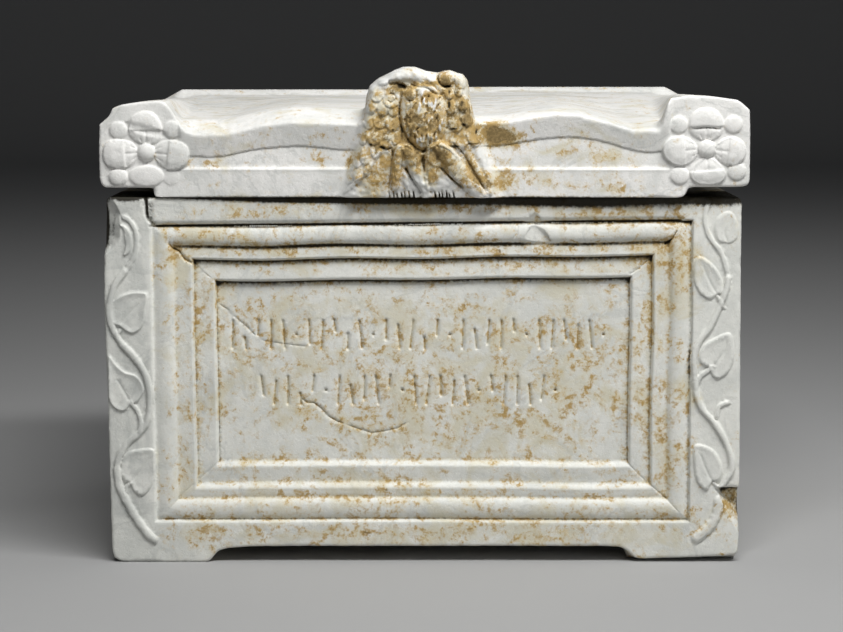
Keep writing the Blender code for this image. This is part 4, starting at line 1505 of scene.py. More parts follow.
@dataclass
class CarvedBlock:
    """A block of stone with a carved front, and sides drawn back from the front's outline."""

    name: str
    node: str
    slot: str
    front: float
    back: float
    spacing: float
    ring_step: float
    edge: float = 1.4
    seed: int = 3
    soil_reach: int = 7
    soil_depth: float = 0.85
    settle: float = 22.0
    rear_round: float = 1.6
    nick_depth: float = 2.4

    def outline(self) -> Array:
        """The front's outline against the clock."""
        raise NotImplementedError

    def carvings(self) -> list[Carving]:
        """What is cut into the front, in carving order."""
        raise NotImplementedError

    def soils(self) -> list[Soil]:
        """Where tan staining is."""
        raise NotImplementedError

    def soil_and_shade_share(self, points: Array) -> Array:
        """How strongly hollows at these points darken with dirt and painted shade."""
        return np.full(len(points), self.soil_depth)

    def dirt_and_shade(self) -> list[Soil]:
        """Where dark dirt and painted shade are, apart from the hollows."""
        return []

    def edge_radius(self, places: Array) -> Array:
        """How round the front's edge is at these places of the outline."""
        return np.full(len(places), self.edge)

    def raw_depth(self, points: Array) -> Array:
        """The depth of the carving, before the front's edges are rounded.

        Args:
            points: the places.

        Returns:
            The depth at each place.
        """
        uneven = Grain(38.0, self.seed).at(points) * 0.16 + Grain(9.0, self.seed + 1).at(points) * 0.07
        depth = np.zeros(len(points))
        for carving in self.carvings():
            depth = carving.cut(points, depth)
        return depth + uneven

    def depth(self, points: Array, ring: Array) -> Array:
        """The depth of the finished front.

        Args:
            points: the places.
            ring: the front's outline.

        Returns:
            The depth at each place, with the front's edges rounded and nicked.
        """
        fine = resample(ring, 0.35, closed=True)
        distance, row = nearest(points, fine)
        edge = fine[row]
        nicks = unit(Grain(7.0, self.seed + 7).at(edge) - 0.45) * self.nick_depth
        radius = self.edge_radius(edge) + nicks + 0.3 * Grain(15.0, self.seed + 8).at(edge)
        gone = np.clip(radius - distance, 0.0, None)
        rounding = radius - np.sqrt(np.clip(radius ** 2 - gone ** 2, 0.0, None))
        return self.raw_depth(points) + rounding

    def front_points(self, ring: Array) -> Array:
        """Spreads the front's inner vertices.

        Args:
            ring: the front's outline.

        Returns:
            The carvings' own points first, and then a jittered grid in what is left.
        """
        outwards = normals_of(ring)
        rows = [ring - outwards * distance for distance in (0.25, 0.7, 1.4, 2.4)]
        guides = np.vstack(rows + [carving.guides() for carving in self.carvings()])
        cell = np.floor(guides / 0.42).astype(int)
        _, first = np.unique(cell, axis=0, return_index=True)
        guides = guides[np.sort(first)]
        low, high = ring.min(axis=0), ring.max(axis=0)
        across = np.arange(low[0], high[0], self.spacing)
        x, z = np.meshgrid(across, np.arange(low[1], high[1], self.spacing * 0.866))
        x = x + (np.arange(len(x)) % 2)[:, None] * self.spacing / 2
        filler = np.stack([x.ravel(), z.ravel()], axis=1)
        filler += np.random.default_rng(self.seed).normal(0.0, 0.07, filler.shape)
        points = np.vstack([guides, filler[nearest(filler, guides)[0] > self.spacing * 0.62]])
        points = points[inside(points, ring)]
        return points[nearest(points, ring)[0] > 0.2]

    def soiling(self, points: Array) -> Array:
        """Works out stains, dirt and painted shade from the patches and how deep each place lies in its
        surroundings.

        Args:
            points: the places.

        Returns:
            Ochre, grime with painted shade, and streak, as three columns.
        """
        low, high = points.min(axis=0), points.max(axis=0)
        columns, rows = np.arange(low[0], high[0] + 2.0), np.arange(low[1], high[1] + 2.0)
        x, z = np.meshgrid(columns, rows)
        blurred = self.raw_depth(np.stack([x.ravel(), z.ravel()], axis=1)).reshape(x.shape)
        for _ in range(self.soil_reach):
            for axis in (0, 1):
                blurred = (np.roll(blurred, 1, axis) + blurred + np.roll(blurred, -1, axis)) / 3
        cell = (points - low).astype(int)
        part = points - low - cell
        column, row = cell.T
        below = blend(blurred[row, column], blurred[row, column + 1], part[:, 0])
        above = blend(blurred[row + 1, column], blurred[row + 1, column + 1], part[:, 0])
        hollow = self.raw_depth(points) - blend(below, above, part[:, 1])
        ochre = sum(patch.at(points) for patch in self.soils())
        ochre = np.clip(ochre + hollow.clip(0.0, 1.0) * 0.2, -1.0, 3.0)
        # Hollows darken with grime and painted shade, by how deep they lie.
        grime_and_shade = np.clip(hollow * self.soil_and_shade_share(points), -1.0, 1.0)
        grime_and_shade = grime_and_shade + sum(patch.at(points) for patch in self.dirt_and_shade())
        return np.stack([ochre, grime_and_shade, np.zeros(len(points))], axis=1)

    def rows_back(self) -> list[float]:
        """The distances behind the front plane of the rows that the outline is drawn back through."""
        raise NotImplementedError

    def drawn(self, ring: Array, starts: Array, behind: float) -> tuple[Array, Array]:
        """Where the outline's points are in one row.

        Args:
            ring: the outline.
            starts: the depth of the front's edge at each of its points.
            behind: the row's distance behind the front plane.

        Returns:
            The places of the row's points, and their soiling.
        """
        raise NotImplementedError

    def drawn_depths(self, starts: Array, behind: float) -> Array:
        """A row's depths, which start from the worn front edge and even out further back."""
        part = unit(behind / self.settle)
        return np.where(behind >= self.settle, behind, starts + (self.settle - starts) * part)

    def rear_inset(self, behind: float) -> float:
        """How far the rounded rear edge draws a row in."""
        gone = max(self.rear_round - (self.back - behind), 0.0)
        return self.rear_round - math.sqrt(max(self.rear_round ** 2 - gone ** 2, 0.0)) if gone else 0.0

    def build(self, finish: MarbleFinish) -> bpy.types.Object:
        """Makes the piece and dresses it.

        Args:
            finish: the stone's finish.

        Returns:
            The finished piece, which stands for its node.
        """
        ring = resample(self.outline(), self.ring_step, closed=True)
        inner = self.front_points(ring)
        points = np.vstack([ring, inner])
        count = len(ring)
        edges = [(index, (index + 1) % count) for index in range(count)]
        out = delaunay_2d_cdt([Vector(point) for point in points], edges, [], 1, 1e-6)
        places = np.array([tuple(vertex) for vertex in out[0]])
        sources = {source: index for index, group in enumerate(out[3]) for source in group}
        depth = self.depth(places, ring)
        shell = Shell()
        front = np.stack([places[:, 0], self.front + depth, places[:, 1]], axis=1)
        front[:, 1] += self.skew(places[:, 0])
        shell.add(front, self.soiling(places))
        shell.faces += [tuple(face) for face in out[2]]
        previous = [sources[index] for index in range(count)]
        self.draw_back(shell, ring, depth[previous], previous)
        piece = shell.build(self.name)
        piece.data.materials.append(finish.build())
        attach(piece, "root")
        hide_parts(self.node)
        LOG.info("%s: %d points in front, %d triangles", self.name, len(places), triangles(piece))
        return piece

    def skew(self, x: Array) -> Array:
        """How far the front plane leans back at x."""
        return x * 0.0

    def left_open(self, ring: Array, behind: float) -> frozenset[int]:
        """The places of the outline where nothing is drawn between this row and the one before it."""
        return frozenset()

    def draw_back(self, shell: Shell, ring: Array, starts: Array, edge: list[int]) -> list[list[int]]:
        """Draws the sides back from the front's edge and closes the rear.

        Args:
            shell: the piece so far.
            ring: the outline.
            starts: the depth of the front's edge at each of its points.
            edge: the vertices of the front's edge.

        Returns:
            The vertices of the front's edge and of every row behind it.
        """
        rows = [edge]
        for behind in self.rows_back():
            start = shell.add(*self.drawn(ring, starts, behind))
            rows.append(list(range(start, start + len(ring))))
            shell.bridge(rows[-2], rows[-1], self.left_open(ring, behind))
        shell.cap(rows[-1])
        return rows


def triangles(piece: bpy.types.Object) -> int:
    """How many triangles a piece has."""
    return sum(len(face.vertices) - 2 for face in piece.data.polygons)


@dataclass
class Chest(CarvedBlock):
    """The chest: four low feet, a moulded front between two vines, and a cavity open at the top."""

    name: str = "chest_stone"
    node: str = "chest"
    slot: str = "chest_marble"
    front: float = -138.0
    back: float = 288.0
    spacing: float = 1.38
    ring_step: float = 1.8
    top: float = 212.7
    foot_gap: Pair = (62.0, 226.0)
    foot_height: float = 9.5
    foot_fillet: float = 4.0
    opening: Pair = (142.0, 104.0)
    opening_middle: float = 144.0
    opening_corner: float = 16.0
    cavity_floor: float = 43.5
    top_strip: float = 26.0
    side_wear: float = 0.55
    right_foot: Pair = (119.0, 6.3)

    def outline(self) -> Array:
        """The front's outline: two worn feet and slightly bowed sides.

        Returns:
            Its points, against the clock.
        """
        return np.array((
            (-172, 0), (-127.5, 0), (-124.8, 0.8), (-122.4, 3.6), (-119.8, 6.6), (-114, 8.3), (-100, 9.3),
            (-60, 9.5), (60, 9.5), (106, 9.4), (114, 8.9), (119, 6.6), (121.4, 4), (123.4, 2.4), (127, 1.9),
            (160, 3), (176, 3.6), (181.4, 4.4), (182.9, 6.2), (183.3, 20.6), (183, 60), (182.4, 120), (181.6, 180),
            (181.5, 208), (181, 211.4), (179.8, 212.7), (-179.8, 212.7), (-181.4, 211.6), (-182.1, 209),
            (-183, 183), (-183.6, 150), (-183.2, 126), (-182.5, 101), (-182, 39), (-181.6, 7), (-180.4, 2.8),
            (-177, 0.6),
        ))

    def carvings(self) -> list[Carving]:
        """The frame first, then the vines, the breaks and the strokes."""
        return [Moulding(), Fascia(), *self.left_vine(), *self.right_vine(), *self.breaks(), StrokeRows()]

    def left_vine(self) -> list[Carving]:
        """Leaves and stem on the left pilaster.

        Returns:
            The carvings, leaves first.
        """
        leaves = (
            Leaf(((-173.9, 197.2), (-171.5, 193), (-170.8, 186), (-171.9, 179.4), (-168.2, 182), (-167, 189),
                (-169.4, 195)), ((-172.8, 196), (-170.2, 190), (-171.4, 181))),
            Leaf(((-175.1, 138.7), (-172.9, 137), (-168.1, 134.6), (-163.6, 136.6), (-161, 141), (-159.9, 148),
                (-158.9, 156.9), (-164.2, 158.4), (-171.3, 157.3), (-177.4, 153.9), (-180.4, 148.9),
                (-180.4, 144.1), (-177.9, 139.7)), ((-175.4, 138.9), (-170.5, 144.5), (-163, 152.5))),
            Leaf(((-169.1, 93.6), (-166, 94.4), (-161.6, 100.4), (-162.6, 105.8), (-166.2, 110.1), (-172.2, 112),
                (-177, 116), (-181.6, 121), (-181.9, 107.3), (-181.8, 96.4), (-177.8, 90.4), (-173, 89.6)),
                ((-169.1, 93.6), (-172.6, 100), (-176.5, 107))),
            Leaf(((-171, 47.7), (-173.9, 48), (-175.8, 55.6), (-172.5, 64), (-165.8, 66.5), (-156.6, 66.6),
                (-155.9, 60), (-156.4, 50), (-159.9, 42.6), (-164.4, 39.6), (-168.4, 42.6)), ((-170.2, 47.3),
                (-164.8, 53.5), (-159, 61.5))),
        )
        stems = (
            Stem(((-171.6, 201.4), (-168.4, 199.4), (-165.2, 194.4), (-164.4, 187.7), (-165.3, 181), (-168, 174.7),
                (-171.6, 169.6)), 2.8, 1),
            Stem(((-171.4, 170.3), (-177.2, 162.5), (-180.6, 151.2), (-180.7, 144.5), (-179.1, 137.9),
                (-174.8, 129.4), (-168.3, 122.4), (-163.1, 115.2), (-159.8, 107.6), (-158.3, 98.7), (-159.2, 85.3),
                (-164.3, 76.9), (-170.8, 71), (-176, 62.8), (-177.8, 54.7), (-176.6, 45.1)), 4.1, 1.7),
            Stem(((-177.8, 54.7), (-176.6, 45.1), (-172.8, 36.2), (-167.4, 26.3), (-160.2, 16.4), (-156.6, 13.4)),
                5, 1.9),
            Stem(((-174.8, 136.5), (-176.2, 133.4), (-174.6, 129.8)), 2.4, 1),
            Stem(((-169.6, 94.4), (-165.6, 89.6), (-163.6, 83), (-164.2, 77.4)), 2.8, 1.2),
            Stem(((-170.8, 46.6), (-172.6, 44), (-173.4, 39)), 2.2, 1),
        )
        return [*leaves, *stems]

    def right_vine(self) -> list[Carving]:
        """Leaves, stem and tendril on the right pilaster.

        Returns:
            The carvings, leaves first.
        """
        leaves = (
            Leaf(((172.5, 186.9), (168.4, 188), (166, 194.8), (168.3, 201.6), (174.7, 204.6), (179.2, 198),
                (179.3, 190.4), (175.9, 186.8)), ((173.4, 187.2), (171.8, 193.6), (174.2, 202.6)), 0.6, 0.35),
            Leaf(((168, 156.9), (164.2, 154.4), (158.6, 157.6), (155.2, 164.1), (154.9, 172.6), (157.1, 178.6),
                (162.6, 176.3), (167.9, 171.1), (171.4, 163.4), (170.6, 157.4)), ((168.2, 157), (164, 164),
                (160, 173)), 1, 0.65),
            Leaf(((164.3, 114.6), (160, 116.6), (158.4, 121.4), (160.8, 127.4), (165.8, 130.9), (175.4, 134.6),
                (177.8, 128), (178.1, 119.1), (174.8, 111.6), (169.6, 108.1), (166, 110.4)), ((164.5, 113.4),
                (168.7, 117.5), (172.7, 123.8), (173.8, 129.6)), 1.1, 0.65),
            Leaf(((166.9, 47.6), (163.8, 43), (158.8, 47.4), (156.7, 56.3), (156.5, 68.5), (162.6, 68.8),
                (169.2, 64.4), (172.7, 55.8), (171.6, 49.6), (168.9, 48)), ((167, 47.8), (163.4, 55),
                (160.6, 62.6)), 1.3, 0.5),
        )
        stems = (
            Stem(((162.3, 210), (160.6, 202.1), (161.8, 193.9), (165, 187.7), (169.1, 182.6), (172.3, 175.4),
                (174.2, 167.2), (174.4, 160.6)), 3, 1),
            Stem(((174.3, 166.4), (173.4, 160.4), (171.4, 153.9), (168.4, 146.5), (164.2, 137.8), (159.2, 131),
                (156.4, 124.8), (155.5, 118.6), (156, 112.3), (156.6, 104), (157.9, 96.7), (161.4, 89.4),
                (166.7, 83.6), (171.4, 76.8), (175.2, 69.5), (178, 61.1), (178.2, 54.6), (175.2, 49),
                (171.8, 43.6)), 3.9, 2),
            Stem(((171.4, 36.6), (170.4, 29.6), (166.4, 21.4), (158.6, 14.4)), 6.2, 1.9),
            Stem(((169, 86), (170.2, 91.5), (172.7, 93.3), (175.5, 94.2)), 2.8, 1.2),
            Stem(((156.8, 103), (159.1, 109.2), (163.6, 112.8), (166.4, 115.2)), 3, 1.2),
            Stem(((168.6, 155.8), (170.6, 152.4), (171.6, 149.8)), 2, 0.9),
            Stem(((168, 47), (171.4, 44.6), (174.4, 47.8)), 2, 0.9),
        )
        return [*leaves, *stems]

    def breaks(self) -> list[Carving]:
        """Broken edges, chips, open mitres and cracks.

        Returns:
            The carvings, in carving order.
        """
        return [
            Furrow(((-147, 187.3), (-144.6, 183.8), (-140.5, 181.5), (-137.6, 177.2), (-132, 174)), 1.9, 1.3),
            Furrow(((-131, 173.6), (-126.4, 169), (-121.6, 165.2)), 0.8, 0.35),
            Furrow(((145, 194), (142.4, 189.2), (137.6, 185.2)), 1.5, 1),
            Furrow(((128.9, 176.6), (124.6, 172), (118, 167.6)), 1, 0.5),
            Furrow(((-150, 29), (-142, 38), (-133, 46.6)), 1.1, 0.3),
            Furrow(((-131.4, 47.6), (-124.6, 53.6), (-118, 60)), 1, 0.35),
            Furrow(((149, 28.6), (140, 37.8), (130.4, 46.2)), 1.1, 0.4),
            Furrow(((129, 47), (123.2, 52.6), (117.6, 58.6)), 1, 0.4),
            EdgeChip(Side.LEFT, ((-178.6, 213.6), (-175.6, 208.4), (-173.4, 203.4), (-174, 197), (-173.6, 190.7),
                (-175.4, 185.5), (-183.5, 179)), 0.85, 7, roughness=0.5),
            EdgeChip(Side.RIGHT, ((168.7, 44.6), (168.9, 43.2), (172.4, 36.4), (176.4, 28.6), (184, 16)), 1.05, 8.5,
                roughness=0.6),
            Facet(((62.8, 204.2, 0), (56.6, 197.4, 2), (64.2, 197.2, 3.6))),
            Facet(((62.8, 204.2, 0), (64.2, 197.2, 3.6), (70, 197.6, 2.4))),
            Facet(((62, 198, 1.9), (63.5, 187, 2.1), (57, 189, 0.8))),
            Facet(((62, 198, 1.9), (73.4, 186.2, 3), (63.5, 187, 2.1))),
            Facet(((62, 198, 1.9), (68.6, 195, 0.6), (73.4, 186.2, 3))),
            Furrow(((50, 187.6), (52.6, 191.6), (53.8, 195.6), (52.8, 197.6)), 0.9, 0.5),
            Furrow(((-119.3, 151.1), (-113.6, 147.4), (-109.3, 142.9), (-103, 137.7), (-96.9, 131.4)), 0.8, 0.5),
            Furrow(((-95, 129.5), (-84, 127.6), (-66, 125.4)), 0.7, 0.4),
            Furrow(((-72, 96.1), (-68.6, 93.1), (-63.9, 92.6), (-59.3, 89), (-55.8, 84.9), (-50.6, 81.9),
                (-46, 80.2)), 1.3, 1),
            Furrow(((-46, 80.2), (-39.6, 77.8), (-30.3, 74.9), (-22.7, 76), (-15.1, 77.8), (-8.1, 81.9)), 0.9, 0.6),
        ]

    def soil_and_shade_share(self, points: Array) -> Array:
        """Dirt and painted shade gather under the frame's upper mouldings, and hardly among the leaves.

        Args:
            points: the places.

        Returns:
            How strongly its hollows darken at each place.
        """
        x, z = points.T
        framed = ease((154.5 - np.abs(x)) / 2.0) * ease((z - 20.0) / 4.0)
        lying = 1 - Moulding().upright(points)
        return blend(0.22, 0.42 + (-0.04 + 0.36 * ease((z - 150.0) / 10.0)) * lying, framed)

    def dirt_and_shade(self) -> list[Soil]:
        """Painted shadow with dirt under the lid, painted shade with dirt under the top roll, and the dirty slot.

        Returns:
            The patches of dirt and painted shade.
        """
        return patches(
            # The bands along the top edge are painted shadow from the lid, with dirt.
            (-130, 213.2, 34, 1.4, 1), (-85, 212.8, 40, 2.8, 1.2), (-35, 212.6, 50, 3.2, 1.3),
            (20, 212.4, 56, 4, 1.15), (100, 211.8, 54, 4.8, 1.35), (170, 213.4, 26, 5, 1.3),
            (-170, 213.2, 14, 3.2, 1.1), (66, 192.5, 8, 7, -0.9), (59, 200.6, 3, 2.4, -0.5),
            # The two long bands at z 185 are painted shade with dirt under the top roll.
            (-75, 185.6, 50, 1.5, 0.45), (40, 185.4, 40, 1.4, 0.3), (-158.4, 206, 0.9, 6, 0.9),
            (-177.6, 196, 1.2, 9, 0.6, 8), (-181.8, 197, 1.5, 11, 0.9), (178.6, 33, 4, 7, 0.35),
            (174, 42.4, 5, 1.4, 0.5, -40),
        )

    def soils(self) -> list[Soil]:
        """Where tan staining is on the chest's front.

        Returns:
            The patches of stain.
        """
        return patches(
            (0, 84, 116, 34, 0.42), (0, 130, 118, 40, 0.30), (-95, 140, 26, 30, 0.30), (95, 120, 34, 46, 0.30),
            (0, 180, 150, 9, 0.55), (-112, 191, 24, 5, 0.5), (14, 190.5, 34, 4.5, 0.4), (40, 30, 90, 13, 0.40),
            (-60, 40, 90, 12, 0.28), (-145, 175, 14, 26, 0.55), (-130, 150, 14, 34, 0.30), (140, 175, 16, 30, 0.38),
            (134, 100, 16, 70, 0.24), (146, 60, 12, 40, 0.2), (-145, 55, 14, 24, 0.35), (-90, 204, 30, 6, 0.50),
            (108, 203, 46, 6, 0.8), (122, 188, 28, 9, 0.36), (146, 180, 8, 22, 0.35), (-2, 207, 46, 4.5, 0.7),
            (-171, 110, 16, 130, -1.9), (171, 118, 15, 80, -0.7), (-123, 20.5, 7, 6, 0.9), (177, 33, 7, 11, 1.2),
            (0, 16, 190, 9, 0.42),
        )

    def rows_back(self) -> list[float]:
        """Rows close to the front and rear edges and at the ends of the side gaps.

        Returns:
            Their distances behind the front plane.
        """
        gap_start, gap_end = self.foot_gap
        fillet = self.foot_fillet
        return [
            3.0, 5.0, 8.0, 12.0, 17.0, 22.0, self.top_strip, 36.0, 50.0, gap_start - 0.02, gap_start,
            gap_start + fillet * 0.13, gap_start + fillet * 0.5, gap_start + fillet, 90.0, 118.0, 144.0, 170.0,
            198.0, gap_end - fillet, gap_end - fillet * 0.5, gap_end - fillet * 0.13, gap_end, gap_end + 0.02,
            244.0, self.back - self.top_strip, self.back - 12.0, self.back - 4.0, self.back - 1.6,
            self.back - 0.5, self.back,
        ]

    def gap_top(self, behind: float) -> float:
        """Finds how high the gap between the feet is at the sides.

        Args:
            behind: the distance behind the front plane.

        Returns:
            The gap's height there, or 0 at the feet.
        """
        start, end = self.foot_gap
        inwards = min(behind - start, end - behind)
        if inwards < -0.001:
            return 0.0
        missing = max(self.foot_fillet - inwards, 0.0)
        return self.foot_height - self.foot_fillet + math.sqrt(max(self.foot_fillet ** 2 - missing ** 2, 0.0))

    def drawn(self, ring: Array, starts: Array, behind: float) -> tuple[Array, Array]:
        """Where the outline's points are in one row.

        Args:
            ring: the outline.
            starts: the depth of the front's edge at each of its points.
            behind: the row's distance behind the front plane.

        Returns:
            The places of the row's points, and their soiling.
        """
        outwards = normals_of(ring)
        x, z = ring.T.copy()
        side = np.abs(outwards[:, 0]) > 0.9
        middle = ease((behind - 3.0) / 20.0) * ease((self.back - 2.0 - behind) / 20.0)
        place = np.stack([ring[:, 1] + 300.0 * np.sign(x), np.full(len(x), behind)], axis=1)
        worn = self.side_wear * (1 + Grain(33.0, self.seed + 3).at(place)) * middle * side
        x = x - np.sign(x) * worn
        under_foot = (x > self.right_foot[0]) & (z < self.right_foot[1])
        z = np.where(under_foot, z * (1 - ease(behind / 12.0)), z)
        inset = self.rear_inset(behind)
        x, z = x - outwards[:, 0] * inset, z - outwards[:, 1] * inset
        z = np.maximum(z, self.gap_top(behind))
        y = self.front + self.drawn_depths(starts, behind)
        soils = np.zeros((len(ring), 3))
        soils[:, 0] = 0.28 + 0.2 * Grain(50.0, self.seed + 4).at(place)
        # Grime rises a little towards the ground; on the top strip near the front it is painted shadow with dirt,
        # under the lid.
        soils[:, 1] = 0.10 * ease((20.0 - z) / 20.0) + 0.8 * (z > self.top - 0.5) * (behind < 60.0)
        return np.stack([x, y, z], axis=1), soils

    def opening_ring(self) -> Array:
        """The cavity's mouth, against the clock seen from above.

        Returns:
            Its points, as x and distance behind the front.
        """
        half_x, half_y = self.opening
        corner = self.opening_corner
        turns = np.linspace(0.0, math.pi / 2, 9)
        points = []
        for quarter, (sx, sy) in enumerate(((1, 1), (-1, 1), (-1, -1), (1, -1))):
            centre = (sx * (half_x - corner), self.opening_middle + sy * (half_y - corner))
            for turn in turns:
                angle = turn + quarter * math.pi / 2
                points.append((centre[0] + corner * math.cos(angle), centre[1] + corner * math.sin(angle)))
        return resample(np.array(points), 6.0, closed=True)

    def crown(self, ring: Array) -> list[int]:
        """The places of the outline's level top."""
        return [index for index, (x, z) in enumerate(ring) if z > self.top - 0.01 and abs(x) < 178.0]

    def left_open(self, ring: Array, behind: float) -> frozenset[int]:
        """The places along the top, between its front strip and its rear strip."""
        within = self.top_strip < behind <= self.back - self.top_strip
        return frozenset(self.crown(ring)[:-1] if within else ())

    def draw_back(self, shell: Shell, ring: Array, starts: Array, edge: list[int]) -> list[list[int]]:
        """Draws the sides back, leaves the top open, and hollows the chest.

        Args:
            shell: the piece so far.
            ring: the outline.
            starts: the depth of the front's edge at each of its points.
            edge: the vertices of the front's edge.

        Returns:
            The vertices of the front's edge and of every row behind it.
        """
        rows = super().draw_back(shell, ring, starts, edge)
        strips = (self.top_strip, self.back - self.top_strip)
        front_strip, *sides, rear_strip = [
            row for row, behind in zip(rows[1:], self.rows_back()) if strips[0] <= behind <= strips[1]
        ]
        crown = self.crown(ring)
        loop = [front_strip[place] for place in crown] + [row[crown[-1]] for row in sides]
        loop += [rear_strip[place] for place in reversed(crown)] + [row[crown[0]] for row in reversed(sides)]
        self.hollow(shell, loop)
        return rows

    def hollow(self, shell: Shell, loop: list[int]) -> None:
        """Fills the flat rim round the cavity's mouth, and sinks the cavity.

        Args:
            shell: the piece so far.
            loop: the vertices round the open top.
        """
        placed = np.vstack(shell.places)
        outer = placed[loop][:, :2]
        mouth = self.opening_ring()
        inner = mouth + (0.0, self.front)
        points = np.vstack([outer, inner])
        sizes = (len(outer), len(inner))
        edges = [(index, (index + 1) % sizes[0]) for index in range(sizes[0])]
        edges += [(sizes[0] + index, sizes[0] + (index + 1) % sizes[1]) for index in range(sizes[1])]
        out = delaunay_2d_cdt([Vector(point) for point in points], edges, [], 1, 1e-6)
        rim_start = shell.add(np.column_stack([inner, np.full(len(inner), self.top)]))
        target = {}
        for index, group in enumerate(out[3]):
            source = group[0]
            target[index] = loop[source] if source < sizes[0] else rim_start + source - sizes[0]
        flat = np.array([tuple(vertex) for vertex in out[0]])
        for face in out[2]:
            centre = flat[list(face)].mean(axis=0)[None, :]
            if not inside(centre, inner)[0]:
                shell.flat.add(len(shell.faces))
                shell.faces.append(tuple(target[corner] for corner in face))
        previous = list(range(rim_start, rim_start + sizes[1]))
        outwards = normals_of(mouth)
        round_floor = self.opening_corner / 2
        for drop, turn in ((0.25, 0.0), (0.5, 0.0), (0.75, 0.0), (1.0, 0.0), (1.0, 0.25), (1.0, 1.0)):
            depth = (self.top - self.cavity_floor - round_floor) * drop
            depth += round_floor * math.sin(turn * math.pi / 2)
            ring = inner - outwards * (round_floor * (1 - math.cos(turn * math.pi / 2)))
            soils = np.full((sizes[1], 3), (0.45, 0.12, 0.0))
            start = shell.add(np.column_stack([ring, np.full(len(ring), self.top - depth)]), soils)
            row = list(range(start, start + sizes[1]))
            shell.bridge(row, previous)
            previous = row
        shell.cap(previous)


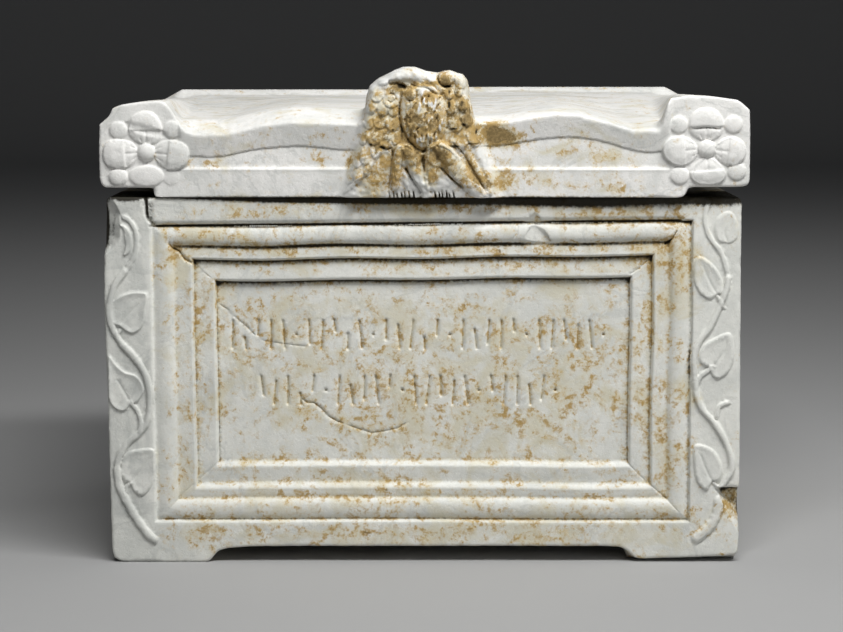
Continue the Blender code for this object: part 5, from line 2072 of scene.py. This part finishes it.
@dataclass
class Lid(CarvedBlock):
    """The lid: a slab with a waved front, scrolled end blocks, a sloping roof and a worn eagle."""

    name: str = "lid_stone"
    node: str = "lid"
    slot: str = "lid_marble"
    front: float = -144.0
    back: float = 300.0
    spacing: float = 1.15
    ring_step: float = 1.5
    seed: int = 40
    bottom: float = 213.0
    half_width: float = 185.0
    block_bottom: float = 218.6
    roof_edge: Line = (
        (-186, 254.2), (-184.3, 254.2), (-178.9, 258.7), (-176.6, 263.5), (-171.8, 265.4), (-162, 266.8),
        (-151, 267.5), (-147.4, 266.8), (-143.8, 263), (-140.8, 257.5), (-138.2, 253.2), (-135.2, 250.8),
        (-130.2, 249.1), (-113.7, 249.3), (-92.9, 254.2), (-75.2, 256.4), (-65.6, 256), (-38.1, 255.1), (0, 255.4),
        (34, 255.6), (46.1, 256.1), (60, 258.6), (74.9, 260.7), (87.9, 260.1), (103.8, 255.9), (118.2, 251.5),
        (132.7, 252.2), (134.8, 255), (136.2, 260), (137.4, 265.5), (139.6, 269.2), (150.2, 270.8), (165, 269.9),
        (176.8, 268.3), (179.1, 267.1), (184.2, 262.6), (186, 262.6),
    )
    bird: Line = (
        (31, 255.9), (28.6, 257.6), (26.7, 267), (25.6, 274.6), (24.6, 279.2), (22, 282.5), (18.8, 283.2),
        (14.9, 284.7), (11.7, 284.4), (7.8, 283.1), (0.7, 284.1), (-5.1, 286.3), (-11.6, 286.1), (-16.1, 284.4),
        (-20.6, 281.9), (-25.8, 279.3), (-30.8, 274.9), (-32.8, 268.3), (-33.7, 260.2), (-35.6, 255.4),
    )
    ridge_setback: float = 28.0
    ridge_rise: Pair = (7.4, 3.0)
    roof_rear: Pair = (264.0, 266.0)
    block_width: Pair = (50.0, 30.0)
    block_slope: float = 12.0
    block_rear: Pair = (262.0, 264.0)
    rim_top: Pair = (267.6, 269.4)
    rim_depth: float = 17.0
    rim_slope: float = 9.0
    bird_setback: float = 34.0
    overhang_skew: float = 5.0
    rear_round: float = 3.0
    body_ends: Pair = (-154.1, 149.5)
    bird_half: float = 40.0
    roof_cross: float = 87.0
    open_half: float = 134.0
    end_chamfer: Pair = (12.5, 8.0)
    chamfer_reach: float = 14.0
    rim_end: Pair = (1.0, 15.5)
    front_settle: float = 30.0
    lean_settle: float = 60.0
    streaks_end: Pair = (132.0, 14.0)
    eagle: Eagle = Eagle()

    def outline(self) -> Array:
        """The front's outline, with the eagle's head and wings over the roof's edge.

        Returns:
            Its points, against the clock.
        """
        edge = np.asarray(self.roof_edge)
        edge = edge[np.abs(edge[:, 0]) < self.half_width]
        right, left = edge[edge[:, 0] > 33.0], edge[edge[:, 0] < -37.0]
        under = (
            (-153.9, 214.6), (-152.8, 213.3), (-151, 213), (144.6, 213), (147.4, 213.8), (149, 215.8),
            (150.2, 218.2), (152.4, 219), (178, 219.1), (182.6, 219.5), (184.5, 221.3), (184.9, 224.5),
            (184.7, 250),
        )
        left_side = (
            (-184.8, 240), (-184.8, 224), (-184, 220.2), (-181.6, 218.4), (-156, 218.3), (-154.3, 217.6),
        )
        return np.vstack([under, right[::-1], np.asarray(self.bird), left[::-1], left_side])

    def carvings(self) -> list[Carving]:
        """The waved front, the rosettes and the eagle.

        Returns:
            The carvings, in carving order.
        """
        return [
            WaveFront(),
            Rosette((-157.8, 238.6), (((-167.3, 248.3), (-167.7, 253.9), (-165.9, 258.2), (-161.6, 261),
                (-156.9, 261.6), (-153.1, 260.1), (-150.2, 256.3), (-148.8, 251.6), (-149.5, 246.4),
                (-153.1, 243.3), (-158, 243), (-163.6, 244.6)), ((-182.6, 236), (-182.2, 240.7), (-180, 244.5),
                (-175.8, 245.9), (-170.6, 245.4), (-165.4, 243.6), (-162.6, 238.6), (-164, 233.6), (-167.3, 230.5),
                (-172, 229.3), (-176.7, 229.5), (-180.8, 231.6)), ((-152.6, 241.6), (-148.3, 244.7),
                (-143.1, 245.4), (-137.9, 244.3), (-134.6, 241.6), (-133.6, 237.7), (-134.3, 233.1),
                (-136.8, 230.3), (-141.2, 228.8), (-146.4, 229), (-150.4, 231.4), (-152.8, 235.6)),
                ((-167.4, 223.8), (-166.6, 227.4), (-163.5, 229.9), (-157.4, 231.4), (-151.2, 229.6), (-148.1, 227),
                (-148.7, 223.4), (-151.2, 220.8), (-156, 219.9), (-161.4, 220), (-165.4, 221.2))),
                ((-173.5, 250.9, 1.4), (-142.9, 251.3, 1.5), (-144.1, 224.8, 0.5), (-174, 224.4, 1.8)), plain=3),
            Ridge(((-169, 254.2), (-158, 251.2), (-147, 248.4)), 5.6, -0.9, 0.4),
            Rosette((160.1, 240.7), (((150.2, 250.4), (150, 256.2), (152.4, 260.8), (157, 263.4), (162.4, 263.3),
                (167, 260.4), (169.2, 255.6), (168.8, 250), (165.2, 246.3), (160.2, 245.2), (154.6, 246.6)),
                ((165.2, 241.4), (168, 245.4), (172.6, 247.3), (177.8, 246.4), (181.4, 243), (182.2, 238.6),
                (180.6, 234.2), (176.4, 231.6), (171.4, 231.6), (167.2, 233.8), (165, 237.4)), ((151.6, 229.6),
                (151, 225.4), (153.8, 221.6), (159, 220.2), (165, 220.4), (169.6, 222.6), (171.2, 226.6),
                (169.4, 230.6), (165, 234.6), (160.4, 236.2), (155.4, 234)), ((155, 240.6), (152.4, 244.6),
                (147.6, 247.4), (142, 247.4), (137.4, 245.2), (135.2, 241.4), (136, 236.8), (139.4, 233),
                (144.6, 231), (150.2, 232.2), (154.2, 236))), ((144, 254.2, 1.4), (174.9, 254.4, 1.4),
                (177.3, 227.8, 1.4), (145, 225.4, 1.4))),
            Furrow(((151.5, 252), (160, 252.8), (168.5, 251.6)), 1.8, 0.8, True),
            self.eagle,
        ]

    def soil_and_shade_share(self, points: Array) -> Array:
        """Dirt and painted shade gather in the eagle's plumage and under the waved band, and hardly round the
        flowers.
        """
        x = np.abs(points[:, 0])
        return blend(0.24, 0.5, ease((x - 46.0) / 5.0)) * blend(1.0, 0.35, ease((x - 128.0) / 6.0))

    def dirt_and_shade(self) -> list[Soil]:
        """Painted shadow with dirt along the lower edge, and dirt and painted shade in the eagle's hollows."""
        return self.eagle.soil_and_shade_spots() + patches((20, 212.6, 90, 0.8, 0.5), (160, 252.4, 9, 0.9, 0.4))

    def soils(self) -> list[Soil]:
        """Where tan staining is on the lid's front.

        Returns:
            The patches of stain.
        """
        return self.eagle.stains() + patches(
            (44, 221, 8, 7, 0.7), (39.2, 249.8, 7.4, 7.4, 2.6), (48.6, 246.6, 5.4, 4.4, 2.5), (36, 222, 9, 9, 0.5),
            (79, 238, 9, 5, 0.6), (105, 236, 13, 4.5, 0.75), (78, 224, 30, 7, 0.35), (104, 217.6, 17, 2.5, 0.75),
            (50, 226, 12, 6, 0.45), (-123, 233, 9, 4, 0.8), (-102, 241.5, 8, 3, 0.7), (-75, 226, 8, 4, 0.55),
            (-60, 236, 10, 5, 0.4), (-160, 242, 26, 34, -0.65), (160, 242, 26, 34, -0.6), (-70, 220, 60, 8, -0.4),
        )

    def edge_radius(self, places: Array) -> Array:
        """A soft lip on the roof's edge, rounder still on the eagle.

        Args:
            places: the places on the outline, one row each.

        Returns:
            The edge's radius at each place.
        """
        x, z = places.T
        roof = np.interp(x, *np.asarray(self.roof_edge).T)
        on_top = z > roof - 1.5
        on_bird = on_top & (z > roof + 1.5) & (np.abs(x) < 38.0)
        radius = np.where(on_top, np.where(np.abs(x) > 135.0, 1.1, 1.9), np.where(z < 214.5, 0.6, self.edge))
        return np.where(on_bird, 3.8, radius)

    def skew(self, x: Array) -> Array:
        """The front leans back towards the left, where the lid hardly overhangs the chest."""
        return self.overhang_skew * unit(0.5 - x / (2 * self.half_width))

    def rows_back(self) -> list[float]:
        """Rows close to the front lip, the ridge, the rear rim and the rear edge.

        Returns:
            Their distances behind the front plane.
        """
        rim = self.back - self.rim_depth
        return [
            4.5, 6.0, 8.0, 10.5, 13.5, 17.0, 20.5, 24.0, 28.0, 32.0, 37.0, 44.0, 54.0, 68.0, 86.0, 106.0, 128.0,
            152.0, 176.0, 200.0, 224.0, 246.0, 264.0, 277.0, rim, rim + 2.2, rim + 5.2, rim + self.rim_slope,
            rim + 11.5, self.back - 3.0, self.back - 1.5, self.back - 0.5, self.back,
        ]

    def roof(self, x: Array, behind: float) -> Array:
        """The height of the lid's upper surface.

        Args:
            x: the places across.
            behind: the distance behind the front plane.

        Returns:
            The height at each place.
        """
        across = ease(0.5 + x / self.roof_cross)
        line = np.asarray(self.roof_edge)
        edge = np.interp(x, *line.T)
        open_edge = np.interp(x, *line[np.abs(line[:, 0]) < self.open_half].T)
        rim_start = self.back - self.rim_depth
        swell = math.sin(math.pi / 2 * min(behind / self.ridge_setback, 1.0))
        to_rear = ease(np.asarray((behind - self.ridge_setback) / (rim_start - self.ridge_setback)))
        surface = blend(open_edge, open_edge + blend(*self.ridge_rise, across), swell)
        surface = blend(surface, blend(*self.roof_rear, across), to_rear)
        from_end = self.half_width - np.abs(x)
        side = (x > 0) * 1.0
        block_front, block_rear = np.maximum(edge, open_edge), blend(*self.block_rear, side)
        block = blend(block_front, block_rear, ease(np.asarray(behind / self.back)))
        chamfer = np.clip(blend(*self.end_chamfer, side) - from_end, 0.0, None)
        chamfered = blend(edge, block_rear - chamfer, behind / self.back)
        block = np.where(from_end < self.chamfer_reach, chamfered, block)
        width = blend(*self.block_width, behind / self.back)
        height = blend(surface, block, ease((width - from_end) / self.block_slope))
        onto_rim = min(max((behind - rim_start) / self.rim_slope, 0.0), 1.0)
        ends = unit((from_end - self.rim_end[0]) / self.rim_end[1])
        rim = blend(block_rear - 3.0, blend(*self.rim_top, across), ends)
        height = blend(height, np.maximum(height, rim), onto_rim)
        at_block = ease((self.block_width[0] - from_end) / self.block_slope)
        correction = edge - blend(open_edge, block_front, at_block)
        return height + correction * (1 - ease(np.asarray(behind / self.front_settle)))

    def drawn(self, ring: Array, starts: Array, behind: float) -> tuple[Array, Array]:
        """Where the outline's points are in one row.

        Args:
            ring: the outline.
            starts: the depth of the front's edge at each of its points.
            behind: the row's distance behind the front plane.

        Returns:
            The places of the row's points, and their soiling.
        """
        x, z = ring.T.copy()
        outwards = normals_of(ring)
        top_at_front, top_here = self.roof(x, 0.0), self.roof(x, behind)
        base = np.where((x > self.body_ends[0]) & (x < self.body_ends[1]), self.bottom, self.block_bottom)
        body = unit((np.minimum(z, top_at_front) - base) / np.maximum(top_at_front - base, 1.0))
        over = np.clip(z - top_at_front, 0.0, None) * (np.abs(x) < self.bird_half)
        fall = 1 - ease(np.asarray((behind - 1.0) / self.bird_setback))
        height = np.where(z <= base, z, base + body * (top_here - base)) + over * fall
        place = np.stack([x, np.full(len(x), behind)], axis=1)
        uneven = 0.6 * Grain(30.0, self.seed + 5).at(place) * (3.0 < behind < self.back - 4.0)
        depths = self.drawn_depths(starts, behind) if behind < self.settle else behind + uneven
        inset = self.rear_inset(behind)
        x = x - outwards[:, 0] * inset * (np.abs(x) > 180.0)
        height = height - unit(outwards[:, 1]) * inset * (z > base + 5.0)
        lean = self.skew(ring[:, 0]) * (1 - ease(np.asarray(behind / self.lean_settle)))
        on_roof = ((outwards[:, 1] > 0.3) | (np.abs(x) < self.bird_half)) & (z > base + 10.0)
        end, fade = self.streaks_end
        soils = np.zeros((len(ring), 3))
        soils[:, 0] = blend(0.10, 0.0, on_roof) + 0.06 * Grain(40.0, self.seed + 6).at(place)
        # Painted shadow with dirt along the lid's lower edge, where it sits on the chest.
        soils[:, 1] = 0.5 * (z <= base + 0.6) * (behind < 200.0)
        soils[:, 2] = on_roof * ease(np.asarray((behind - 22.0) / 24.0)) * ease((end - np.abs(x)) / fade)
        return np.stack([x, self.front + depths + lean, height], axis=1), soils


@dataclass(frozen=True)
class Softbox:
    """One soft rectangular light that looks at the urn, in metres and watts."""

    name: str
    place: Triple
    size: Pair
    power: float
    target: Triple = (0.0, 0.0, 0.14)

    def hang(self) -> None:
        """Hangs the light."""
        data = bpy.data.lights.new(self.name, "AREA")
        data.shape = "RECTANGLE"
        data.size, data.size_y = self.size
        data.energy = self.power
        light = bpy.data.objects.new(self.name, data)
        light.location = self.place
        aim = Vector(self.target) - Vector(self.place)
        light.rotation_euler = aim.to_track_quat("-Z", "Y").to_euler()
        bpy.context.scene.collection.objects.link(light)


@dataclass(frozen=True)
class Studio:
    """Plain pale floor, soft light, and the camera at the photograph's angle, in metres."""

    camera_place: Triple = (-0.0014, -1.382, 0.3013)
    camera_tilt: float = 7.183
    lens: float = 93.2
    sensor: float = 36.0
    floor_colour: Triple = (0.34, 0.34, 0.338)
    floor_half: float = 14.0
    floor_start: float = -4.0
    floor_end: float = 4.0
    floor_sweep: float = 1.5
    floor_rise: float = 5.0
    sky: Triple = (0.92, 0.95, 1.0)
    sky_strength: float = 0.035
    lights: tuple[Softbox, ...] = (
        Softbox("key", (0.28, -0.68, 1.20), (1.2, 0.20), 21.6),
        Softbox("fill", (1.3, -1.5, 0.6), (0.7, 0.6), 4.2),
        Softbox("back", (0.2, 1.3, 1.9), (1.2, 1.2), 4.0),
    )

    def camera(self) -> None:
        """Sets up the camera."""
        data = bpy.data.cameras.new("camera")
        data.lens = self.lens
        data.sensor_width = self.sensor
        camera = bpy.data.objects.new("camera", data)
        camera.location = self.camera_place
        camera.rotation_euler = (math.radians(90.0 - self.camera_tilt), 0.0, 0.0)
        bpy.context.scene.collection.objects.link(camera)
        bpy.context.scene.camera = camera

    def floor(self) -> None:
        """Lays the floor, which sweeps up far behind the urn."""
        work = bmesh.new()
        end, sweep = self.floor_end, self.floor_sweep
        profile = [(self.floor_start, 0.0), (end, 0.0)]
        turns = np.linspace(0.0, math.pi / 2, 13)[1:]
        profile += [(end + sweep * math.sin(turn), sweep * (1 - math.cos(turn))) for turn in turns]
        profile.append((end + sweep, self.floor_rise))
        half = self.floor_half
        rows = [[work.verts.new((x, y, z)) for x in (-half, half)] for y, z in profile]
        for low, high in zip(rows, rows[1:]):
            work.faces.new((low[0], low[1], high[1], high[0]))
        mesh = bpy.data.meshes.new("studio_floor")
        work.to_mesh(mesh)
        work.free()
        for face in mesh.polygons:
            face.use_smooth = True
        floor = bpy.data.objects.new("studio_floor", mesh)
        bpy.context.scene.collection.objects.link(floor)
        material = bpy.data.materials.new("studio_floor")
        material.use_nodes = True
        shader = material.node_tree.nodes["Principled BSDF"]
        shader.inputs["Base Color"].default_value = (*self.floor_colour, 1.0)
        shader.inputs["Roughness"].default_value = 0.85
        mesh.materials.append(material)

    def build(self) -> None:
        """Sets up the whole studio."""
        self.camera()
        self.floor()
        for light in self.lights:
            light.hang()
        bpy.context.scene.view_settings.view_transform = "Standard"
        world = bpy.data.worlds.new("studio")
        world.use_nodes = True
        sky = world.node_tree.nodes["Background"]
        sky.inputs["Color"].default_value = (*self.sky, 1.0)
        sky.inputs["Strength"].default_value = self.sky_strength
        bpy.context.scene.world = world


def main() -> None:
    """Builds the urn and its studio, and reports each piece."""
    logging.basicConfig(level=logging.INFO, format="%(name)s %(message)s")
    Studio().build()
    LOG.info("studio is set up")
    Chest().build(MarbleFinish("chest_marble_finish"))
    Lid().build(MarbleFinish("lid_marble_finish", pale=(0.80, 0.79, 0.76)))


if __name__ == "__main__":
    main()
